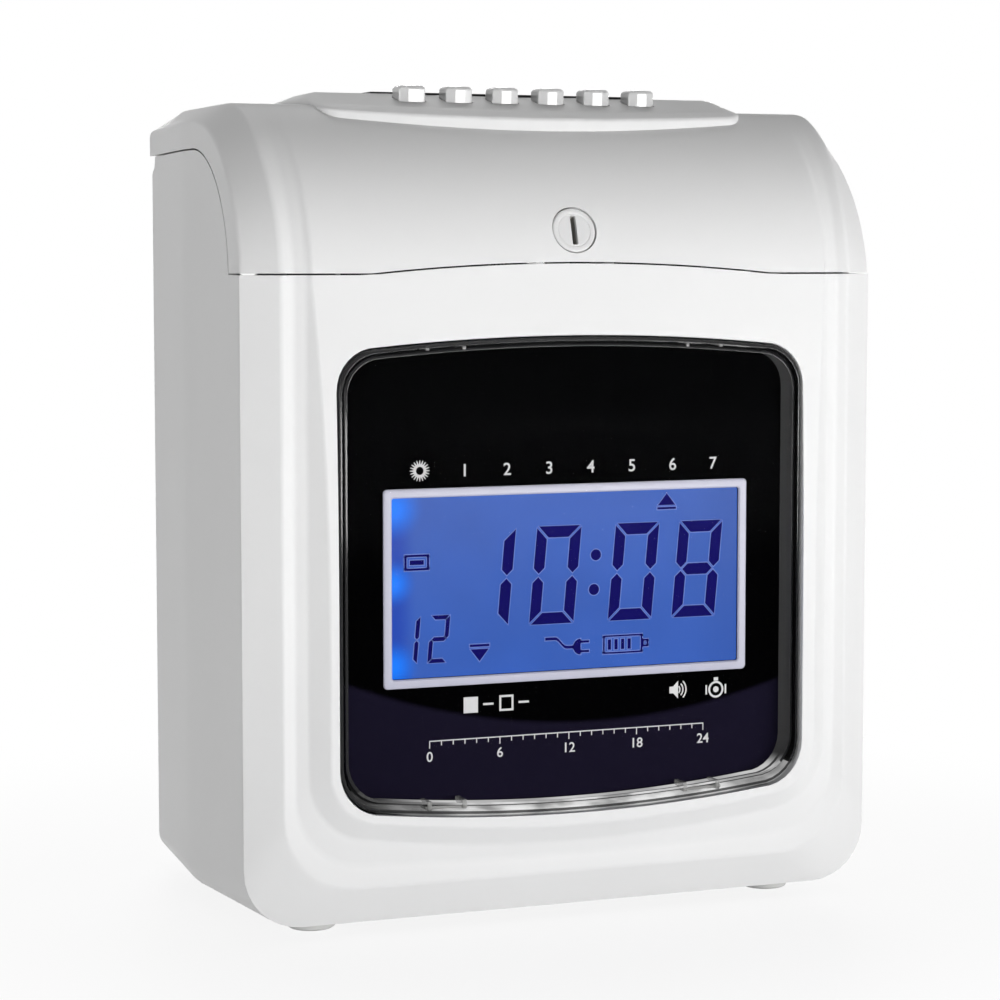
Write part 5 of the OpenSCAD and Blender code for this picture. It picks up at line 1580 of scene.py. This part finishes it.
class CLOCK_OT_case(bpy.types.Operator):
    """Builds the case body with its back, screw posts and hinge knuckles"""

    bl_idname = "clock.case"
    bl_label = "Case"

    def execute(self, context):
        build_case()
        return {"FINISHED"}


class CLOCK_OT_bezel(bpy.types.Operator):
    """Builds the front bezel round the window, with its posts and catch"""

    bl_idname = "clock.bezel"
    bl_label = "Front bezel"

    def execute(self, context):
        build_bezel()
        return {"FINISHED"}


class CLOCK_OT_lid(bpy.types.Operator):
    """Builds the curved lid with its hinge barrels"""

    bl_idname = "clock.lid"
    bl_label = "Lid"

    def execute(self, context):
        build_lid()
        return {"FINISHED"}


class CLOCK_OT_console(bpy.types.Operator):
    """Builds the console on the lid and the surround of its card slot"""

    bl_idname = "clock.console"
    bl_label = "Console"

    def execute(self, context):
        build_console()
        build_slot()
        return {"FINISHED"}


class CLOCK_OT_keys(bpy.types.Operator):
    """Builds the six key caps"""

    bl_idname = "clock.keys"
    bl_label = "Keys"

    def execute(self, context):
        build_keys()
        return {"FINISHED"}


class CLOCK_OT_lid_lock(bpy.types.Operator):
    """Builds the face and stem of the lid's lock"""

    bl_idname = "clock.lid_lock"
    bl_label = "Lid lock"

    def execute(self, context):
        build_lock()
        return {"FINISHED"}


class CLOCK_OT_window(bpy.types.Operator):
    """Builds the clear door over the panel, with its clips"""

    bl_idname = "clock.window"
    bl_label = "Window"

    def execute(self, context):
        build_window()
        return {"FINISHED"}


class CLOCK_OT_display(bpy.types.Operator):
    """Builds the panel, the screen with its frame, the digits and the printed marks"""

    bl_idname = "clock.display"
    bl_label = "Display"

    def execute(self, context):
        build_panel()
        build_digits()
        build_marks()
        return {"FINISHED"}


class CLOCK_OT_feet(bpy.types.Operator):
    """Builds the four feet"""

    bl_idname = "clock.feet"
    bl_label = "Feet"

    def execute(self, context):
        build_feet()
        return {"FINISHED"}


class CLOCK_OT_inner_parts(bpy.types.Operator):
    """Gives the parts inside the case their finishes"""

    bl_idname = "clock.inner_parts"
    bl_label = "Inner parts"

    def execute(self, context):
        build_inner_parts()
        return {"FINISHED"}


class CLOCK_OT_stage(bpy.types.Operator):
    """Sets the floor, lamps, room light and camera"""

    bl_idname = "clock.stage"
    bl_label = "Stage"

    def execute(self, context):
        build_stage()
        return {"FINISHED"}


class CLOCK_PT_panel(bpy.types.Panel):
    """Lists the settings and the builders of the time clock"""

    bl_label = "Time clock"
    bl_idname = "CLOCK_PT_panel"
    bl_space_type = "VIEW_3D"
    bl_region_type = "UI"
    bl_category = "Time clock"

    def draw(self, context):
        for group in GROUPS:
            settings = getattr(context.scene, group)
            for name in settings.__annotations__:
                self.layout.prop(settings, name)
        for kind in OPERATORS:
            self.layout.operator(kind.bl_idname)


GROUPS = {"clock_sizes": ClockSizes, "clock_colours": ClockColours, "clock_display": ClockDisplay,
          "clock_stage": ClockStage}
OPERATORS = [CLOCK_OT_case, CLOCK_OT_bezel, CLOCK_OT_lid, CLOCK_OT_console, CLOCK_OT_keys, CLOCK_OT_lid_lock,
             CLOCK_OT_window, CLOCK_OT_display, CLOCK_OT_feet, CLOCK_OT_inner_parts, CLOCK_OT_stage]


def register():
    """Registers settings, operators and panel, and hangs the settings on the scene."""
    for kind in [*GROUPS.values(), *OPERATORS, CLOCK_PT_panel]:
        bpy.utils.register_class(kind)
    for name, kind in GROUPS.items():
        setattr(bpy.types.Scene, name, bpy.props.PointerProperty(type=kind))


def unregister():
    """Takes away what register added."""
    for name in GROUPS:
        delattr(bpy.types.Scene, name)
    for kind in [CLOCK_PT_panel, *OPERATORS[::-1], *GROUPS.values()]:
        bpy.utils.unregister_class(kind)


def main():
    """Builds everything through its operators."""
    register()
    for kind in OPERATORS:
        group, name = kind.bl_idname.split(".")
        getattr(getattr(bpy.ops, group), name)()


if __name__ == "__main__":
    main()
